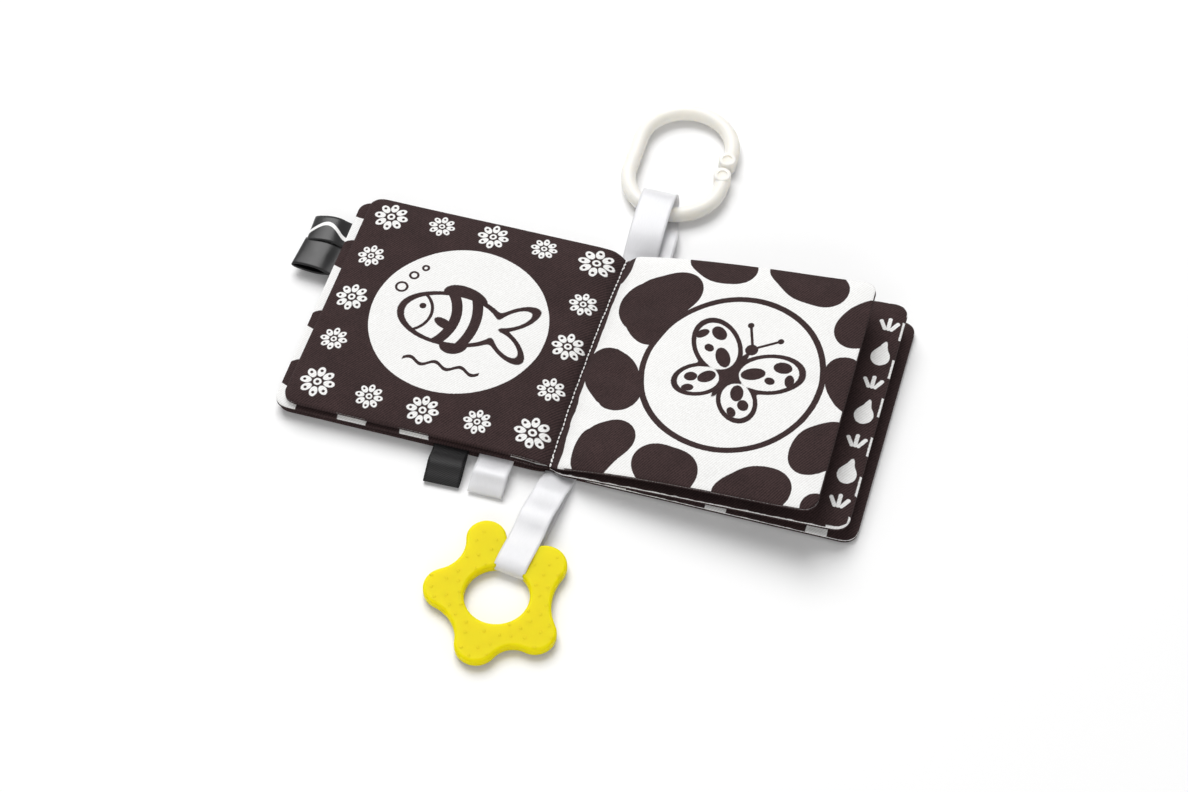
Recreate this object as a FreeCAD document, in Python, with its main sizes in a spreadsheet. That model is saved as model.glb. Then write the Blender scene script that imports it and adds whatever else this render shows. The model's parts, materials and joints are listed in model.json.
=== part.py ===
"""Padded cloth book lying open, with a plastic link ring and a chewing ring on ribbon loops.

Six padded leaves are three folios sewn through one fold line. The book lies open at its
middle: three leaves to the left, three to the right. The right inner leaf springs up.
Frame: origin on the resting plane under the sewn fold, +X across the right-hand leaves,
+Y along the spine towards the link ring, +Z up. Millimetres.
"""
import FreeCAD, Part
import math
import os
import re

import Sketcher

V = FreeCAD.Vector

doc = FreeCAD.newDocument("ClothBook")
sheet = doc.addObject("Spreadsheet::Sheet", "Sizes")

SIZES = (
    # leaves: two cloth faces sewn round a thin wadding
    ("leaf_height", 130.0, "leaf, along the spine"),
    ("leaf_width", 129.0, "leaf, from the spine to the fore edge"),
    ("leaf_thickness", 3.6, "padded leaf"),
    ("corner_radius", 7.0, "rounded leaf corners"),
    ("edge_round", 1.5, "roll of the cloth over a leaf's seam"),
    ("leaf_gap", 0.3, "air between soft pieces that lie on each other"),
    # the sewn spine
    ("fold_x", -1.3, "sewn fold line, across the spine"),
    ("fold_half_gap", 0.5, "fold line to the inner edge of an inner leaf"),
    ("middle_spine_left", 7.5, "origin to the left middle leaf"),
    ("middle_spine_right", 10.0, "origin to the right middle leaf"),
    ("cover_spine_left", 7.0, "origin to the front cover's leaf"),
    ("cover_spine_right", 15.3, "origin to the back cover's leaf"),
    ("cover_spine_thickness", 1.6, "flat, sewn cover spine"),
    ("middle_spine_thickness", 1.6, "flat, sewn spine of the middle folio"),
    ("fold_half_width", 3.2, "half the width of the sewn fold"),
    # how the right-hand leaves stand
    ("inner_tilt", 10.2, "degrees the right inner leaf springs up"),
    ("middle_tilt", 3.4, "degrees the right middle leaf springs up"),
    # ribbons
    ("ribbon", 0.5, "thickness of every ribbon"),
    ("pinch", 0.15, "half the gap between a ribbon's ends where they are sewn in"),
    ("ring_strap_width", 16.0, "ribbon that carries the link ring"),
    ("strap_clearance", 0.8, "air between a strap and what it goes round"),
    # link ring
    ("ring_tube", 3.9, "radius of the link ring's bar"),
    ("ring_bend", 23.75, "radius of its bends, at the bar's centre"),
    ("ring_straight", 21.5, "length of its straight side"),
    ("ring_across", 10.25, "ring's centre, off the spine"),
    ("ring_up", 133.5, "ring's centre, from the book's middle"),
    ("knob_radius", 4.5, "round knob on each end of the ring"),
    ("knob_proud", 0.3, "knob above and below the bar"),
    ("knob_rim", 0.8, "rounded rim of a knob"),
    ("knob_inset", 0.8, "knob's centre, inside the bar's centre line"),
    ("knob_drop", 5.0, "upper knob, below the end of the upper bend"),
    ("knob_pitch", 10.5, "distance between the two knobs"),
    ("dimple_radius", 2.4, "dished top of a knob"),
    ("dimple_depth", 0.9, "depth of the dish"),
    # chewing ring
    ("teether_thickness", 5.2, "chewing ring's body"),
    ("teether_round", 1.5, "rounding of its edges"),
    ("teether_hole", 14.8, "radius of its hole"),
    ("teether_across", -3.6, "its hole's centre, off the spine"),
    ("teether_down", 136.4, "its hole's centre, from the book's middle"),
    ("lobe_1_reach", 31.0, "long lobe left of the strap, from the hole's centre"),
    ("lobe_1_bearing", 116.1, "degrees from +X"),
    ("lobe_1_round", 9.2, "its round end"),
    ("valley_1", 15.25, "hollow between this lobe and the next"),
    ("lobe_2_reach", 23.8, "left lobe"),
    ("lobe_2_bearing", 185.3, "degrees from +X"),
    ("lobe_2_round", 10.0, "its round end"),
    ("valley_2", 19.5, "hollow between this lobe and the next"),
    ("lobe_3_reach", 25.8, "bottom lobe"),
    ("lobe_3_bearing", 266.5, "degrees from +X"),
    ("lobe_3_round", 9.9, "its round end"),
    ("valley_3", 10.75, "hollow between this lobe and the next"),
    ("lobe_4_reach", 25.8, "lower right lobe"),
    ("lobe_4_bearing", 328.2, "degrees from +X"),
    ("lobe_4_round", 9.7, "its round end"),
    ("valley_4", 27.0, "hollow between this lobe and the next"),
    ("lobe_5_reach", 26.6, "upper right lobe"),
    ("lobe_5_bearing", 413.0, "degrees from +X, one full turn on"),
    ("lobe_5_round", 10.2, "its round end"),
    ("valley_5", 9.0, "hollow between this lobe and the first, under the strap"),
    # straps, measured from the book's edge
    ("ring_strap_across", 4.8, "middle of the ring's strap, off the spine"),
    ("ring_strap_loop", 2.6, "inner radius of its free fold"),
    ("ring_strap_slack", 7.0, "from the bar to the bend of its free fold"),
    ("teether_strap_width", 15.0, "ribbon that carries the chewing ring"),
    ("teether_strap_across", 4.4, "middle of that strap at the book"),
    ("teether_strap_lean", 7.0, "degrees it leans off the spine's line"),
    ("teether_strap_level", 22.0, "length of its level run over the rim"),
    # sewn-in tabs
    ("tab_width", 16.5, "ribbon tab"),
    ("wide_tab_width", 17.6, "wider ribbon tab"),
    ("fore_tab_length", 18.6, "fore-edge tab, out of the seam"),
    ("fore_tab_loop", 3.0, "inner radius of its bulge"),
    ("fore_tab_tip", 2.2, "inner radius of its free fold"),
    ("fore_tab_rise", 0.6, "its bulge above the seam"),
    ("foot_tab_length", 21.0, "bottom tab, out of the seam"),
    ("foot_tab_tip", 1.6, "inner radius of its free fold"),
    ("striped_tab_place", 39.9, "middle of the striped tab, from the book's middle"),
    ("tab_gap", 0.4, "between the two fore-edge tabs"),
    ("grosgrain_tab_place", 47.6, "middle of the ribbed tab, left of the spine"),
    ("satin_tab_place", 25.6, "middle of the white tab, left of the spine"),
    ("grosgrain_tab_lean", 5.0, "degrees the ribbed tab leans"),
)

for row, (alias, value, words) in enumerate(SIZES, start=1):
    sheet.set(f"A{row}", words)
    sheet.set(f"B{row}", str(value))
    sheet.setAlias(f"B{row}", alias)
doc.recompute()


def size(alias):
    """A driving size, as a number."""
    return float(sheet.get(alias))


def bind(thing, **expressions):
    """Ties properties of a document object to the sheet; __ in a name stands for a dot."""
    for name, expression in expressions.items():
        thing.setExpression(name.replace("__", "."), expression)


def cells(expression):
    """An expression on the sheet, from one written with bare aliases."""
    aliases = "|".join(alias for alias, _, _ in SIZES)
    return re.sub(rf"\b({aliases})\b", r"Sizes.\1", expression)


def worth(expression):
    """The value of such an expression."""
    value = sheet.evalExpression(expression)
    return float(getattr(value, "Value", value))


def new_body(label):
    """An empty body whose label names its node."""
    body = doc.addObject("PartDesign::Body", label)
    body.Label = label
    return body


def new_sketch(body, role, name):
    """A sketch on one of the body's own origin planes."""
    sketch = body.newObject("Sketcher::SketchObject", name)
    plane = [feature for feature in body.Origin.OriginFeatures if feature.Role == role][0]
    sketch.AttachmentSupport = [(plane, "")]
    sketch.MapMode = "FlatFace"
    return sketch


def named(sketch, name, expression, *parts):
    """Adds a size constraint and ties it to the sheet. A negative size is turned round."""
    value = worth(expression)
    kind, geometry = parts[0], list(parts[1:])
    if value < 0 and kind in ("DistanceX", "DistanceY"):
        geometry = geometry[2:] + geometry[:2]
        expression, value = f"- ( {expression})", -value
    index = sketch.addConstraint(Sketcher.Constraint(kind, *geometry, value))
    sketch.renameConstraint(index, name)
    sketch.setExpression(f"Constraints.{name}", cells(expression))


def pad(body, sketch, name, expression, symmetric=False, backwards=False):
    """Pads a sketch by a length from the sheet."""
    feature = body.newObject("PartDesign::Pad", name)
    feature.Profile = sketch
    if symmetric:
        feature.SideType = "Symmetric"
    feature.Reversed = backwards
    bind(feature, Length=cells(expression))
    sketch.Visibility = False
    doc.recompute()
    return feature


def round_edges(body, base, name, expression, wanted):
    """Fillets the edges of the base feature that pass the test."""
    edges = [f"Edge{i}" for i, edge in enumerate(base.Shape.Edges, start=1) if wanted(edge)]
    feature = body.newObject("PartDesign::Fillet", name)
    feature.Base = (base, edges)
    bind(feature, Radius=cells(expression))
    doc.recompute()
    return feature


def upright(edge):
    """True for an edge along the body's Z."""
    return edge.BoundBox.ZLength > 1e-6 and edge.BoundBox.XLength + edge.BoundBox.YLength < 1e-6


def level(edge):
    """True for an edge that lies in a plane across the body's Z."""
    return edge.BoundBox.ZLength < 1e-6


def slab(label, length, height, thickness, corner=None, edge=None):
    """A flat piece from its own Y axis outwards along X, centred on Y, resting on its Z = 0."""
    body = new_body(label)
    sketch = new_sketch(body, "XY_Plane", label + "_outline")
    x, y = worth(length), worth(height) / 2
    corners = [V(0, -y, 0), V(x, -y, 0), V(x, y, 0), V(0, y, 0)]
    for i in range(4):
        sketch.addGeometry(Part.LineSegment(corners[i], corners[(i + 1) % 4]))
    for i in range(4):
        sketch.addConstraint(Sketcher.Constraint("Coincident", i, 2, (i + 1) % 4, 1))
        sketch.addConstraint(Sketcher.Constraint("Vertical" if i % 2 else "Horizontal", i))
    sketch.addConstraint(Sketcher.Constraint("Symmetric", 3, 1, 3, 2, -1, 1))
    named(sketch, "length", length, "DistanceX", 0, 1, 0, 2)
    named(sketch, "height", height, "DistanceY", 1, 1, 1, 2)
    doc.recompute()
    feature = pad(body, sketch, label + "_pad", thickness)
    if corner:
        feature = round_edges(body, feature, label + "_corners", corner, upright)
    if edge:
        feature = round_edges(body, feature, label + "_rolled", edge, level)
    return body


def place(body, across="0", along="0", up="0", axis=V(0, 0, 1), turn="0"):
    """Puts a body in the book's frame, its place and turn tied to the sheet."""
    body.Placement = FreeCAD.Placement(V(0, 0, 0), FreeCAD.Rotation(axis, max(worth(turn), 0.001)))
    bind(
        body,
        Placement__Base__x=cells(across),
        Placement__Base__y=cells(along),
        Placement__Base__z=cells(up),
    )
    if turn != "0":
        bind(body, Placement__Rotation__Angle=cells(turn))
    else:
        body.Placement.Rotation = FreeCAD.Rotation()
    doc.recompute()
    return body


# ---------------------------------------------------------------- leaves


LEVEL = "(leaf_thickness + leaf_gap)"


def leaf(label):
    """One padded leaf, its inner edge on its own Y axis."""
    return slab(label, "leaf_width", "leaf_height", "leaf_thickness", "corner_radius", "edge_round")


# left-hand stack: flat on each other, turned round so that they reach to -X
place(leaf("front_cover_leaf"), across="- cover_spine_left", turn="180")
place(leaf("left_middle_leaf"), across="- middle_spine_left", up=LEVEL, turn="180")
place(leaf("left_inner_leaf"), across="fold_x - fold_half_gap", up=f"2 * {LEVEL}", turn="180")

# right-hand leaves: the cover lies flat, the next two spring up about their inner edges
place(leaf("back_cover_leaf"), across="cover_spine_right")
place(
    leaf("right_middle_leaf"),
    across="middle_spine_right",
    up=LEVEL,
    axis=V(0, -1, 0),
    turn="middle_tilt",
)
INNER_REST = (
    f"(2 * {LEVEL} + leaf_gap"
    " - (middle_spine_right - fold_x) * tan(inner_tilt * 1deg))"
)
place(
    leaf("right_inner_leaf"),
    across="fold_x + fold_half_gap + 0.1 * leaf_thickness",
    up=INNER_REST,
    axis=V(0, -1, 0),
    turn="inner_tilt",
)

# ---------------------------------------------------------------- sewn spine

place(
    slab(
        "cover_spine",
        "cover_spine_left + cover_spine_right - 2 * leaf_gap",
        "leaf_height",
        "cover_spine_thickness",
    ),
    across="leaf_gap - cover_spine_left",
)
MIDDLE_REST = "(cover_spine_thickness + leaf_gap)"
place(
    slab(
        "middle_spine",
        "cover_spine_left + middle_spine_right - 2 * leaf_gap",
        "leaf_height",
        "middle_spine_thickness",
    ),
    across="leaf_gap - cover_spine_left",
    up=MIDDLE_REST,
)
FOLD_REST = f"({MIDDLE_REST} + middle_spine_thickness + leaf_gap)"
place(
    slab(
        "sewn_fold",
        "2 * fold_half_width",
        "leaf_height",
        f"{INNER_REST} - leaf_gap - {FOLD_REST}",
    ),
    across="fold_x - fold_half_width",
    up=FOLD_REST,
)

# ---------------------------------------------------------------- ribbons


def belt(circles):
    """Arcs and straight runs of a belt round circles (x, z, r) given anticlockwise."""
    pieces = []
    count = len(circles)
    runs = []
    for i in range(count):
        (x0, z0, r0), (x1, z1, r1) = circles[i], circles[(i + 1) % count]
        gap = math.hypot(x1 - x0, z1 - z0)
        outward = math.atan2(z1 - z0, x1 - x0) - math.acos((r0 - r1) / gap)
        runs.append(outward)
    for i in range(count):
        x, z, r = circles[i]
        start, end = runs[i - 1], runs[i]
        while end < start:
            end += 2 * math.pi
        pieces.append(Part.ArcOfCircle(Part.Circle(V(x, z, 0), V(0, 0, 1), r), start, end))
        x1, z1, r1 = circles[(i + 1) % count]
        begin = V(x + r * math.cos(end), z + r * math.sin(end), 0)
        finish = V(x1 + r1 * math.cos(runs[i]), z1 + r1 * math.sin(runs[i]), 0)
        pieces.append(Part.LineSegment(begin, finish))
    return pieces


def add_belt(sketch, name, rounds, extra):
    """Draws one closed belt; rounds are (x, z, r) expressions, extra is added to each r."""
    first = sketch.GeometryCount
    radii = [f"{r} + {extra}" if extra else r for _, _, r in rounds]
    values = [(worth(x), worth(z), worth(r)) for (x, z, _), r in zip(rounds, radii)]
    for piece in belt(values):
        sketch.addGeometry(piece)
    count = 2 * len(rounds)
    for i in range(count):
        after = first + (i + 1) % count
        sketch.addConstraint(Sketcher.Constraint("Tangent", first + i, 2, after, 1))
    for i, ((x, z, _), r) in enumerate(zip(rounds, radii)):
        arc = first + 2 * i
        named(sketch, f"{name}_radius_{i}", r, "Radius", arc)
        named(sketch, f"{name}_out_{i}", x, "DistanceX", -1, 1, arc, 3)
        named(sketch, f"{name}_up_{i}", z, "DistanceY", -1, 1, arc, 3)


def ribbon_loop(label, width, rounds):
    """A ribbon sewn in at its own origin that runs out along X, round its circles and back."""
    body = new_body(label)
    sketch = new_sketch(body, "XZ_Plane", label + "_run")
    add_belt(sketch, "inner", rounds, "")
    add_belt(sketch, "outer", rounds, "ribbon")
    doc.recompute()
    pad(body, sketch, label + "_ribbon", width, symmetric=True)
    return body


SEAM_IN = "(leaf_gap + pinch + ribbon)"
STRAP_SEAM = "(0.5 * cover_spine_thickness)"
RING_REST = "(ribbon + leaf_gap + ring_tube)"
RING_FOOT = "(ring_up - 0.5 * ring_straight - ring_bend)"

# the strap of the link ring: out of the head seam, over the bar, and back under it
RING_START = f"({RING_FOOT} - 0.5 * leaf_height)"
STRAP_SIDE = "(ring_across - ring_strap_across + 0.5 * ring_strap_width)"
RING_END = f"({RING_START} + ring_bend - sqrt(ring_bend ^ 2 - {STRAP_SIDE} ^ 2))"
place(
    ribbon_loop(
        "ring_strap",
        "ring_strap_width",
        [
            (SEAM_IN, STRAP_SEAM, "pinch"),
            (
                f"{RING_END} + ring_strap_slack",
                "ribbon + ring_strap_loop",
                "ring_strap_loop",
            ),
            (RING_END, RING_REST, "ring_tube + strap_clearance"),
            (RING_START, RING_REST, "ring_tube + strap_clearance"),
        ],
    ),
    across="ring_strap_across",
    along="0.5 * leaf_height",
    turn="90",
)

# the strap of the chewing ring: out of the tail seam, over its rim, and back through its hole
TEETHER_REST = "(ribbon + leaf_gap)"
STRAP_LOOP = f"(0.5 * ({TEETHER_REST} + teether_thickness))"
STRAP_CHORD = "sqrt(teether_hole ^ 2 - (0.5 * teether_strap_width + strap_clearance) ^ 2)"
STRAP_FOLD = (
    f"((teether_down - {STRAP_CHORD} - 0.5 * leaf_height)"
    " / cos(teether_strap_lean * 1deg) + strap_clearance)"
)
place(
    ribbon_loop(
        "teether_strap",
        "teether_strap_width",
        [
            (
                f"{SEAM_IN} + 0.5 * teether_strap_width * sin(teether_strap_lean * 1deg)",
                STRAP_SEAM,
                "pinch",
            ),
            (f"{STRAP_FOLD} - {STRAP_LOOP}", f"ribbon + {STRAP_LOOP}", STRAP_LOOP),
            (
                f"{STRAP_FOLD} - {STRAP_LOOP} - teether_strap_level",
                f"ribbon + {STRAP_LOOP}",
                STRAP_LOOP,
            ),
        ],
    ),
    across="teether_strap_across",
    along="-0.5 * leaf_height",
    axis=V(0, 0, -1),
    turn="90 + teether_strap_lean",
)

# the two tabs in the fore edge of the left middle leaf, side by side
TAB_SEAM = f"({LEVEL} + 0.5 * leaf_thickness)"


def fore_tab(label, width, along):
    """A bulged loop of ribbon out of the fore edge."""
    rounds = [
        (SEAM_IN, TAB_SEAM, "pinch"),
        ("0.45 * fore_tab_length", f"{TAB_SEAM} + fore_tab_rise", "fore_tab_loop"),
        (
            "fore_tab_length - ribbon - fore_tab_tip",
            f"{TAB_SEAM} + fore_tab_rise",
            "fore_tab_tip",
        ),
    ]
    return place(
        ribbon_loop(label, width, rounds),
        across="-middle_spine_left - leaf_width",
        along=along,
        turn="180",
    )


fore_tab("striped_tab", "tab_width", "striped_tab_place")
fore_tab(
    "wide_tab",
    "wide_tab_width",
    "striped_tab_place - 0.5 * tab_width - tab_gap - 0.5 * wide_tab_width",
)


def foot_tab(label, place_left, lean):
    """A flat loop of ribbon out of the tail edge, drooping to the surface."""
    body = ribbon_loop(
        label,
        "tab_width",
        [
            (f"{SEAM_IN} + 0.5 * tab_width * sin({lean} * 1deg)", TAB_SEAM, "pinch"),
            (
                "foot_tab_length - ribbon - foot_tab_tip",
                "ribbon + foot_tab_tip",
                "foot_tab_tip",
            ),
        ],
    )
    return place(
        body,
        across=f"- {place_left}",
        along="-0.5 * leaf_height",
        axis=V(0, 0, -1),
        turn=f"90 - {lean}",
    )


foot_tab("grosgrain_tab", "grosgrain_tab_place", "grosgrain_tab_lean")
foot_tab("satin_tab", "satin_tab_place", "0.5 * grosgrain_tab_lean")

# ---------------------------------------------------------------- link ring


KNOB_X = "(ring_bend - knob_inset)"
KNOB_TOP = "0.5 * ring_straight - knob_drop"
KNOBS = (KNOB_TOP, KNOB_TOP + " - knob_pitch")

ring = new_body("link_ring")
path = new_sketch(ring, "XY_Plane", "link_ring_path")
bend, half, low = worth("ring_bend"), worth("0.5 * ring_straight"), worth(KNOBS[1])
down, up = V(0, -half, 0), V(0, half, 0)
path.addGeometry(Part.LineSegment(V(bend, low, 0), V(bend, -half, 0)))
path.addGeometry(Part.ArcOfCircle(Part.Circle(down, V(0, 0, 1), bend), math.pi, 2 * math.pi))
path.addGeometry(Part.LineSegment(V(-bend, -half, 0), V(-bend, half, 0)))
path.addGeometry(Part.ArcOfCircle(Part.Circle(up, V(0, 0, 1), bend), 0, math.pi))
path.addGeometry(Part.LineSegment(V(bend, half, 0), V(bend, worth(KNOB_TOP), 0)))
path.addConstraint(Sketcher.Constraint("Tangent", 0, 2, 1, 2))
path.addConstraint(Sketcher.Constraint("Tangent", 1, 1, 2, 1))
path.addConstraint(Sketcher.Constraint("Tangent", 2, 2, 3, 2))
path.addConstraint(Sketcher.Constraint("Tangent", 3, 1, 4, 1))
path.addConstraint(Sketcher.Constraint("Vertical", 2))
path.addConstraint(Sketcher.Constraint("Horizontal", 3, 1, 3, 3))
path.addConstraint(Sketcher.Constraint("PointOnObject", 1, 3, -2))
path.addConstraint(Sketcher.Constraint("PointOnObject", 3, 3, -2))
named(path, "bend", "ring_bend", "Radius", 1)
named(path, "lower", "-0.5 * ring_straight", "DistanceY", -1, 1, 1, 3)
named(path, "upper", "0.5 * ring_straight", "DistanceY", -1, 1, 3, 3)
named(path, "gap", KNOBS[1] + " + 0.5 * ring_straight", "DistanceY", 1, 3, 0, 1)
named(path, "drop", "knob_drop", "DistanceY", 4, 2, 4, 1)

bar = new_sketch(ring, "XZ_Plane", "link_ring_bar")
bar.addGeometry(Part.Circle(V(0, 0, 0), V(0, 0, 1), worth("ring_tube")))
bar.addConstraint(Sketcher.Constraint("Coincident", 0, 3, -1, 1))
named(bar, "radius", "ring_tube", "Radius", 0)
bind(
    bar,
    AttachmentOffset__Base__x=cells("ring_bend"),
    AttachmentOffset__Base__z=cells(f"-({KNOBS[1]})"),
)
doc.recompute()
pipe = ring.newObject("PartDesign::AdditivePipe", "link_ring_pipe")
pipe.Profile = bar
pipe.Spine = (path, ["Edge1", "Edge2", "Edge3", "Edge4", "Edge5"])
doc.recompute()

KNOB_HALF = "(ring_tube + knob_proud)"
for number, along in enumerate(KNOBS, start=1):
    knob = new_sketch(ring, "XZ_Plane", f"link_ring_knob_{number}")
    r, h, f = worth("knob_radius"), worth(KNOB_HALF), worth("knob_rim")
    points = [V(0, -h, 0), V(r - f, -h, 0), V(r, f - h, 0), V(r, h - f, 0), V(r - f, h, 0)]
    points.append(V(0, h, 0))
    knob.addGeometry(Part.LineSegment(points[0], points[1]))
    low_rim = Part.Circle(V(r - f, f - h, 0), V(0, 0, 1), f)
    knob.addGeometry(Part.ArcOfCircle(low_rim, 1.5 * math.pi, 2 * math.pi))
    knob.addGeometry(Part.LineSegment(points[2], points[3]))
    top_rim = Part.Circle(V(r - f, h - f, 0), V(0, 0, 1), f)
    knob.addGeometry(Part.ArcOfCircle(top_rim, 0, 0.5 * math.pi))
    knob.addGeometry(Part.LineSegment(points[4], points[5]))
    knob.addGeometry(Part.LineSegment(points[5], points[0]))
    for one, two in ((0, 1), (1, 2), (2, 3), (3, 4)):
        knob.addConstraint(Sketcher.Constraint("Tangent", one, 2, two, 1))
    knob.addConstraint(Sketcher.Constraint("Coincident", 4, 2, 5, 1))
    knob.addConstraint(Sketcher.Constraint("Coincident", 5, 2, 0, 1))
    knob.addConstraint(Sketcher.Constraint("Horizontal", 0))
    knob.addConstraint(Sketcher.Constraint("Horizontal", 4))
    knob.addConstraint(Sketcher.Constraint("Symmetric", 5, 1, 5, 2, -1, 1))
    named(knob, "radius", "knob_radius", "DistanceX", -1, 1, 2, 1)
    named(knob, "height", "2 * (ring_tube + knob_proud)", "DistanceY", 5, 2, 5, 1)
    named(knob, "rim", "knob_rim", "Radius", 1)
    named(knob, "top_rim", "knob_rim", "Radius", 3)
    bind(
        knob,
        AttachmentOffset__Base__x=cells(KNOB_X),
        AttachmentOffset__Base__z=cells(f"-({along})"),
    )
    doc.recompute()
    turned = ring.newObject("PartDesign::Revolution", f"link_ring_turned_knob_{number}")
    turned.Profile = knob
    turned.ReferenceAxis = (knob, ["V_Axis"])
    turned.Angle = 360
    doc.recompute()

dimples = new_sketch(ring, "XY_Plane", "link_ring_dimples")
for number, along in enumerate(KNOBS):
    centre = V(worth(KNOB_X), worth(along), 0)
    dimples.addGeometry(Part.Circle(centre, V(0, 0, 1), worth("dimple_radius")))
    named(dimples, f"dimple_{number}", "dimple_radius", "Radius", number)
    named(dimples, f"out_{number}", KNOB_X, "DistanceX", -1, 1, number, 3)
    if abs(centre.y) > 1e-6:
        named(dimples, f"up_{number}", along, "DistanceY", -1, 1, number, 3)
    else:
        dimples.addConstraint(Sketcher.Constraint("PointOnObject", number, 3, -1))
bind(dimples, AttachmentOffset__Base__z=cells(KNOB_HALF))
doc.recompute()
before = ring.Shape.Volume
dish = ring.newObject("PartDesign::Pocket", "link_ring_dishes")
dish.Profile = dimples
bind(dish, Length=cells("dimple_depth"))
dimples.Visibility = False
doc.recompute()
cut = before - ring.Shape.Volume
wanted = 2 * math.pi * worth("dimple_radius") ** 2 * worth("dimple_depth")
assert abs(cut - wanted) < 0.02 * wanted, (cut, wanted)
place(ring, across="ring_across", along="ring_up", up=RING_REST)

# ---------------------------------------------------------------- chewing ring


def lobe(number):
    """Centre and radius of one lobe, as expressions."""
    reach, bearing = f"lobe_{number}_reach", f"lobe_{number}_bearing"
    x = f"{reach} * cos({bearing} * 1deg)"
    y = f"{reach} * sin({bearing} * 1deg)"
    return x, y, f"lobe_{number}_round"


def hollow(one, two, radius):
    """Centre of the arc that touches two lobes from outside, to the right of one to two."""
    (x0, y0, r0), (x1, y1, r1) = one, two
    gap = math.hypot(x1 - x0, y1 - y0)
    along = ((r0 + radius) ** 2 - (r1 + radius) ** 2 + gap**2) / (2 * gap)
    off = math.sqrt((r0 + radius) ** 2 - along**2)
    ux, uy = (x1 - x0) / gap, (y1 - y0) / gap
    return x0 + ux * along + uy * off, y0 + uy * along - ux * off


teether = new_body("teether")
outline = new_sketch(teether, "XY_Plane", "teether_outline")
lobes = [lobe(number) for number in range(1, 6)]
rounds = [tuple(worth(word) for word in one) for one in lobes]
valleys = [worth(f"valley_{number}") for number in range(1, 6)]
hollows = [hollow(rounds[i], rounds[(i + 1) % 5], valleys[i]) for i in range(5)]
for i in range(5):
    x, y, r = rounds[i]
    start = math.atan2(hollows[i - 1][1] - y, hollows[i - 1][0] - x)
    end = math.atan2(hollows[i][1] - y, hollows[i][0] - x)
    while end < start:
        end += 2 * math.pi
    outline.addGeometry(Part.ArcOfCircle(Part.Circle(V(x, y, 0), V(0, 0, 1), r), start, end))
    hx, hy = hollows[i]
    x1, y1, _ = rounds[(i + 1) % 5]
    start = math.atan2(y1 - hy, x1 - hx)
    end = math.atan2(y - hy, x - hx)
    while end < start:
        end += 2 * math.pi
    circle = Part.Circle(V(hx, hy, 0), V(0, 0, 1), valleys[i])
    outline.addGeometry(Part.ArcOfCircle(circle, start, end))
for i in range(5):
    outline.addConstraint(Sketcher.Constraint("Tangent", 2 * i, 2, 2 * i + 1, 2))
    outline.addConstraint(Sketcher.Constraint("Tangent", 2 * i + 1, 1, (2 * i + 2) % 10, 1))
for i, (x, y, r) in enumerate(lobes):
    named(outline, f"lobe_{i}", r, "Radius", 2 * i)
    named(outline, f"valley_{i}", f"valley_{i + 1}", "Radius", 2 * i + 1)
    named(outline, f"lobe_{i}_x", x, "DistanceX", -1, 1, 2 * i, 3)
    named(outline, f"lobe_{i}_y", y, "DistanceY", -1, 1, 2 * i, 3)
outline.addGeometry(Part.Circle(V(0, 0, 0), V(0, 0, 1), worth("teether_hole")))
outline.addConstraint(Sketcher.Constraint("Coincident", 10, 3, -1, 1))
named(outline, "hole", "teether_hole", "Radius", 10)
doc.recompute()
plate = pad(teether, outline, "teether_plate", "teether_thickness")
round_edges(teether, plate, "teether_rolled", "teether_round", level)
place(teether, across="teether_across", along="-teether_down", up=TEETHER_REST)

# ---------------------------------------------------------------- check and write

doc.recompute()
bodies = doc.findObjects("PartDesign::Body")
for thing in doc.Objects:
    assert not {"Invalid", "Error"} & set(thing.State), (thing.Name, thing.State)
for body in bodies:
    assert not body.Shape.isNull() and body.Shape.isValid(), body.Label
    assert len(body.Shape.Solids) == 1, body.Label

os.makedirs("parts", exist_ok=True)
for body in bodies:
    body.Shape.exportStep(f"parts/{body.Label}.step")
    box = body.Shape.BoundBox
    print(f"{body.Label:18s} {body.Shape.Volume:9.1f}", box)
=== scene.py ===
import json
import math

import bpy
import numpy as np
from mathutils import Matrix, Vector, noise
from mathutils.bvhtree import BVHTree

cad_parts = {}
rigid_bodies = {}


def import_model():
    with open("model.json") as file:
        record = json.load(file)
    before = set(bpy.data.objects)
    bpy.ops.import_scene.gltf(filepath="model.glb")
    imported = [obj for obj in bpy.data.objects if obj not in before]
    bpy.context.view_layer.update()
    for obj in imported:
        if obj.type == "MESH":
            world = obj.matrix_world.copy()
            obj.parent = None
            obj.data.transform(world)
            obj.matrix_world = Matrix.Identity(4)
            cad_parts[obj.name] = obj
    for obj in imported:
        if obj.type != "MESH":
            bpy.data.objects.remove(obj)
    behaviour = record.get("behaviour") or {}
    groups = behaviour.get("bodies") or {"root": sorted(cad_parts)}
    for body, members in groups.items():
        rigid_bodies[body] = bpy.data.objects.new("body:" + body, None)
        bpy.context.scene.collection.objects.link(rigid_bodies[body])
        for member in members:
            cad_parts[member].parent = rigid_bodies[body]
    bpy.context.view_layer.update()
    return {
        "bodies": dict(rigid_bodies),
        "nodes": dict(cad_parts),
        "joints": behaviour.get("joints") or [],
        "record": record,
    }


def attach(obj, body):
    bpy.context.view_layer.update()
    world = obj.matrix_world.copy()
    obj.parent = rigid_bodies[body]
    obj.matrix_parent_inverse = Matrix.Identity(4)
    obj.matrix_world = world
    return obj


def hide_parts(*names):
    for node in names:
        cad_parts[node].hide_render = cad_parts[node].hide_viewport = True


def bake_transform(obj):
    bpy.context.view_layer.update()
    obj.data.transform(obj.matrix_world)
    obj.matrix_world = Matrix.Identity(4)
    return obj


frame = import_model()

mm = 0.001

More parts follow.
